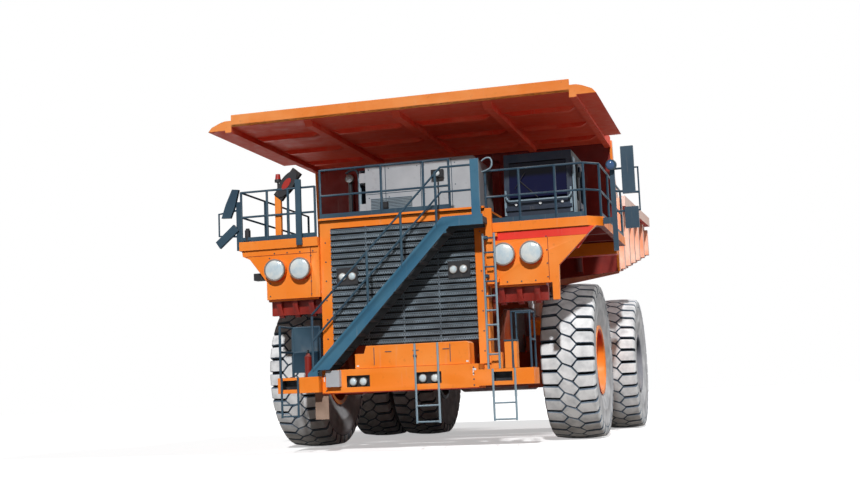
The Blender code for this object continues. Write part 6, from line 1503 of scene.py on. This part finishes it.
# low, high, radius at each, sides, finish
BOTTLE = ((1.62, 2.06, 0.075, 0.075, 20, 0), (2.06, 2.13, 0.07, 0.03, 20, 0),
          (2.12, 2.20, 0.022, 0.022, 12, 1))
shape = bmesh.new()
for low, high, radius, tip, sides, finish in BOTTLE:
    rod(shape, (BOTTLE_X, BOTTLE_Y, low), (BOTTLE_X, BOTTLE_Y, high), radius, sides, finish, tip)
rod(shape, (BOTTLE_X, BOTTLE_Y, 2.17), (BOTTLE_X, BOTTLE_Y - 0.10, 2.12), 0.012, 8, 1)
block(shape, (-2.25, -3.42, 1.76), (-2.07, -3.32, 1.80), 1)
block(shape, (-2.20, -3.33, 1.62), (-2.12, -3.30, 2.10), 1)
piece("extinguisher", shape, [red_enamel, black_enamel], "chassis", 0.003)
shape = bmesh.new()
block(shape, (2.20, -3.52, BIN_FLOOR_Z), (2.46, -3.30, 2.18))
block(shape, (2.19, -3.53, 2.16), (2.47, -3.29, 2.20), 1)
block(shape, (1.90, -3.46, BIN_FLOOR_Z), (2.14, -3.30, 1.95))
piece("platform_bins", shape, [orange_enamel, tube_enamel], "chassis", 0.012)
print("extinguisher and bins ready")

# %% Ladders and the post behind the tall one
WORN_BELOW_Z = 3.3
LADDER_SHIFT = (-0.11, 0, 0)  # the solid stands that much too far to the truck's left


def tall_ladder_finish(place, normal):
    """0 paint, 1 worn pale by boots."""
    return 1 if place.z < WORN_BELOW_Z else 0


dressed("tall_ladder", [tube_enamel, pale_slate], tall_ladder_finish, 0.003, LADDER_SHIFT)
dressed("step_ladder_centre", [pale_slate], bevel=0.003)
dressed("step_ladder_left", [pale_slate], bevel=0.003)
dressed("step_ladder_right", [tube_enamel], bevel=0.003)
shape = bmesh.new()
block(shape, (1.92, -3.56, 3.36), (2.06, -3.46, 4.96))
for z in (3.40, 4.36):
    block(shape, (1.90, -3.46, z), (2.14, -3.352, z + 0.08))
piece("ladder_backing", shape, [orange_enamel], "chassis", 0.006)
print("ladders ready")

# %% [markdown]
# ## Pipes on the centre deck
# Beside the cabinet stand dark air pipes and hoses, and a work lamp on one of them. The straight
# ones are rods with a foot. The bent ones follow a few points, so a curve with a round section
# makes each, turned to mesh before it is placed.

# %% Pipes and hoses
PIPE_FOOT_Z, FOOT_HIGH, FOOT_SHARE = 5.045, 0.025, 1.8
PIPE_ROUND, PIPE_SMOOTH = 3, 6      # cuts round a bent pipe and along it
# X, Y, top, radius, finish
STAND_PIPES = ((-1.68, -1.60, 6.20, 0.05, 0), (-1.52, -1.35, 6.35, 0.06, 1),
               (-1.40, -1.75, 5.95, 0.035, 2), (-1.60, -0.90, 6.50, 0.09, 1))
BENT_PIPE = [(-1.40, -1.75, 5.90), (-1.40, -1.75, 6.30), (-1.55, -1.78, 6.42), (-1.72, -1.80, 6.30)]
HOSE = [(-1.52, -1.35, 5.30), (-1.30, -1.55, 5.40), (-1.28, -1.70, 5.20), (-1.35, -1.75, 5.046)]


def pipe(shape, points, radius, finish=0):
    """A bent pipe through points: a curve with a round section, turned to mesh."""
    curve = bpy.data.curves.new("pipe", "CURVE")
    curve.dimensions = "3D"
    curve.bevel_depth = radius
    curve.bevel_resolution = PIPE_ROUND
    curve.use_fill_caps = True
    curve.resolution_u = PIPE_SMOOTH
    run = curve.splines.new("NURBS")
    run.points.add(len(points) - 1)
    for point, place in zip(run.points, points):
        point.co = (*place, 1)
    run.order_u = 3
    run.use_endpoint_u = True
    holder = bpy.data.objects.new("pipe", curve)
    bpy.context.scene.collection.objects.link(holder)
    bpy.context.view_layer.update()
    mesh = bpy.data.meshes.new_from_object(holder.evaluated_get(bpy.context.evaluated_depsgraph_get()))
    bpy.data.objects.remove(holder)
    before = set(shape.faces)
    shape.from_mesh(mesh)
    bpy.data.meshes.remove(mesh)
    for face in shape.faces:
        if face not in before:
            face.material_index = finish


shape = bmesh.new()
for x, y, top, radius, finish in STAND_PIPES:
    rod(shape, (x, y, PIPE_FOOT_Z), (x, y, top), radius, 16, finish)
    rod(shape, (x, y, PIPE_FOOT_Z), (x, y, PIPE_FOOT_Z + FOOT_HIGH), radius * FOOT_SHARE, 16, finish)
pipe(shape, BENT_PIPE, 0.03, 2)
pipe(shape, HOSE, 0.025, 0)
piece("deck_pipes", shape, [black_enamel, cab_shade_slate, pale_slate], "chassis")
shape = bmesh.new()
rod(shape, (-1.68, -1.66, 6.20), (-1.68, -1.60, 6.20), 0.10, 24)
lamp(shape, (-1.68, -1.70, 6.20), 0.10, 0.06, steps=24)
piece("deck_work_lamp", shape, LAMP_FINISHES, "chassis")
print("pipes ready")

# %% [markdown]
# ## Small things on the decks
# A bent hand hold closes the gate at the head of the stairs, and an oil bottle stands on the right
# deck.

# %% A hoop at the gate and a bottle
HOOP_Y = -3.72
HOOP = ((1.94, 5.70), (2.02, 5.72), (2.16, 5.78), (2.16, 5.98), (2.02, 6.00), (1.94, 5.93))
shape = bmesh.new()
pipe(shape, [(x, HOOP_Y, z) for x, z in HOOP], 0.018)
piece("gate_hoop", shape, [pale_slate], "chassis")
shape = bmesh.new()
rod(shape, (-3.55, -3.30, 4.665), (-3.55, -3.30, 4.93), 0.065, 20)
rod(shape, (-3.55, -3.30, 4.93), (-3.55, -3.30, 4.97), 0.045, 20)
block(shape, (-3.66, -3.36, 4.664), (-3.44, -3.24, 4.70))
piece("deck_bottle", shape, [black_enamel], "chassis", 0.004)
print("hoop and bottle ready")

# %% [markdown]
# ## Inside the cab
# Behind the dark glass, and seen when the door stands open, is the seat. Its squab and its back
# each carry a foam cushion with a rounded edge, so each is a pad of its own.

# %% Cushions
CAB_FLOOR = node_box("cab_interior")[0].z
SEAT_X, SEAT_Y = 2.705, -0.25
EDGE_SHARE, CUTS, LONG_EDGE = 0.42, 7, 0.1


def cushion(name, low, high, crown):
    """A foam pad between two corners, rounded at its edges and crowned in the middle."""
    low, high = Vector(low), Vector(high)
    shape = bmesh.new()
    block(shape, low, high)
    thin = min(range(3), key=lambda axis: high[axis] - low[axis])
    bmesh.ops.bevel(shape, geom=shape.edges[:], offset=(high - low)[thin] * EDGE_SHARE, segments=4,
                    affect="EDGES", profile=0.6)
    long_edges = [edge for edge in shape.edges if edge.calc_length() > LONG_EDGE]
    bmesh.ops.subdivide_edges(shape, edges=long_edges, cuts=CUTS, use_grid_fill=True)
    middle, half = (low + high) / 2, (high - low) / 2
    side = 1 if thin == 2 else -1
    for vertex in shape.verts:
        share = 1.0
        for axis in range(3):
            if axis != thin:
                share *= max(0.0, 1 - ((vertex.co[axis] - middle[axis]) / half[axis]) ** 2)
        if side * (vertex.co[thin] - middle[thin]) > 0:
            vertex.co[thin] += side * crown * share
    made = piece(name, shape, [seat_cloth], "chassis")


cushion("seat_squab_pad", (SEAT_X - 0.25, SEAT_Y - 0.25, CAB_FLOOR + 0.4803),
        (SEAT_X + 0.25, SEAT_Y + 0.12, CAB_FLOOR + 0.555), 0.018)
cushion("seat_back_pad", (SEAT_X - 0.24, SEAT_Y + 0.105, CAB_FLOOR + 0.60),
        (SEAT_X + 0.24, SEAT_Y + 0.1797, CAB_FLOOR + 1.14), 0.016)
print("cushions at floor", round(CAB_FLOOR, 3))

# %% [markdown]
# ## The steel that the front hides
# Frame, axle, struts, tanks and rails have the right form already, and need no more than softened
# edges and a finish. What comes in a left and a right one is named once.

# %% Soften the edges of the big weldments
frame_red = enamel("frame_enamel", screen(170, 64, 26), screen(184, 88, 52), screen(96, 26, 16), 0.5)
# name, one a side, finish, bevel
WELDMENTS = [
    ("main_frame", False, frame_red, 0.012), ("deck_cross_beam", False, orange_enamel, 0.01),
    ("rear_axle", False, frame_red, 0.012), ("engine_block", False, grey_enamel, 0.02),
    ("fuel_tank", False, orange_enamel, 0.03), ("hydraulic_tank", False, orange_enamel, 0.03),
    ("trailing_arm", True, frame_red, 0.01), ("railing", True, tube_enamel, 0.0),
    ("railing_centre", False, tube_enamel, 0.0), ("front_strut", True, grey_enamel, 0.0),
    ("knuckle", True, frame_red, 0.008), ("hoist_barrel", True, grey_enamel, 0.004),
    ("platform_rails", True, tube_enamel, 0.0), ("tie_rod", False, frame_red, 0.0)]
for name, paired, finish, width in WELDMENTS:
    for ending in [f"_{side_name}" for _, side_name in SIDES] if paired else [""]:
        dressed(name + ending, [finish], bevel=width)
print("weldments ready")

# %% [markdown]
# ## Every other solid gets its finish
# What has no dressed copy, such as the hoists' bright rods, keeps its own mesh and only changes
# its finish. The slot that each solid was given says which.

# %% Finishes for the solids that stay
SLOT_FINISH = {
    "orange_paint": orange_enamel, "slate_paint": tube_enamel, "grey_paint": grey_enamel,
    "dark_mesh": slat_lattice, "dusty_white": rock_white, "tyre_rubber": groove_rubber,
    "rim_grey": rim_enamel, "bare_steel": bright_steel, "black_paint": black_enamel,
    "cab_glass": navy_glass, "seat_cloth": seat_cloth}
for name in nodes:
    refinish(name, SLOT_FINISH[SLOT_OF[name]])
print("solids with a finish:", len(nodes))
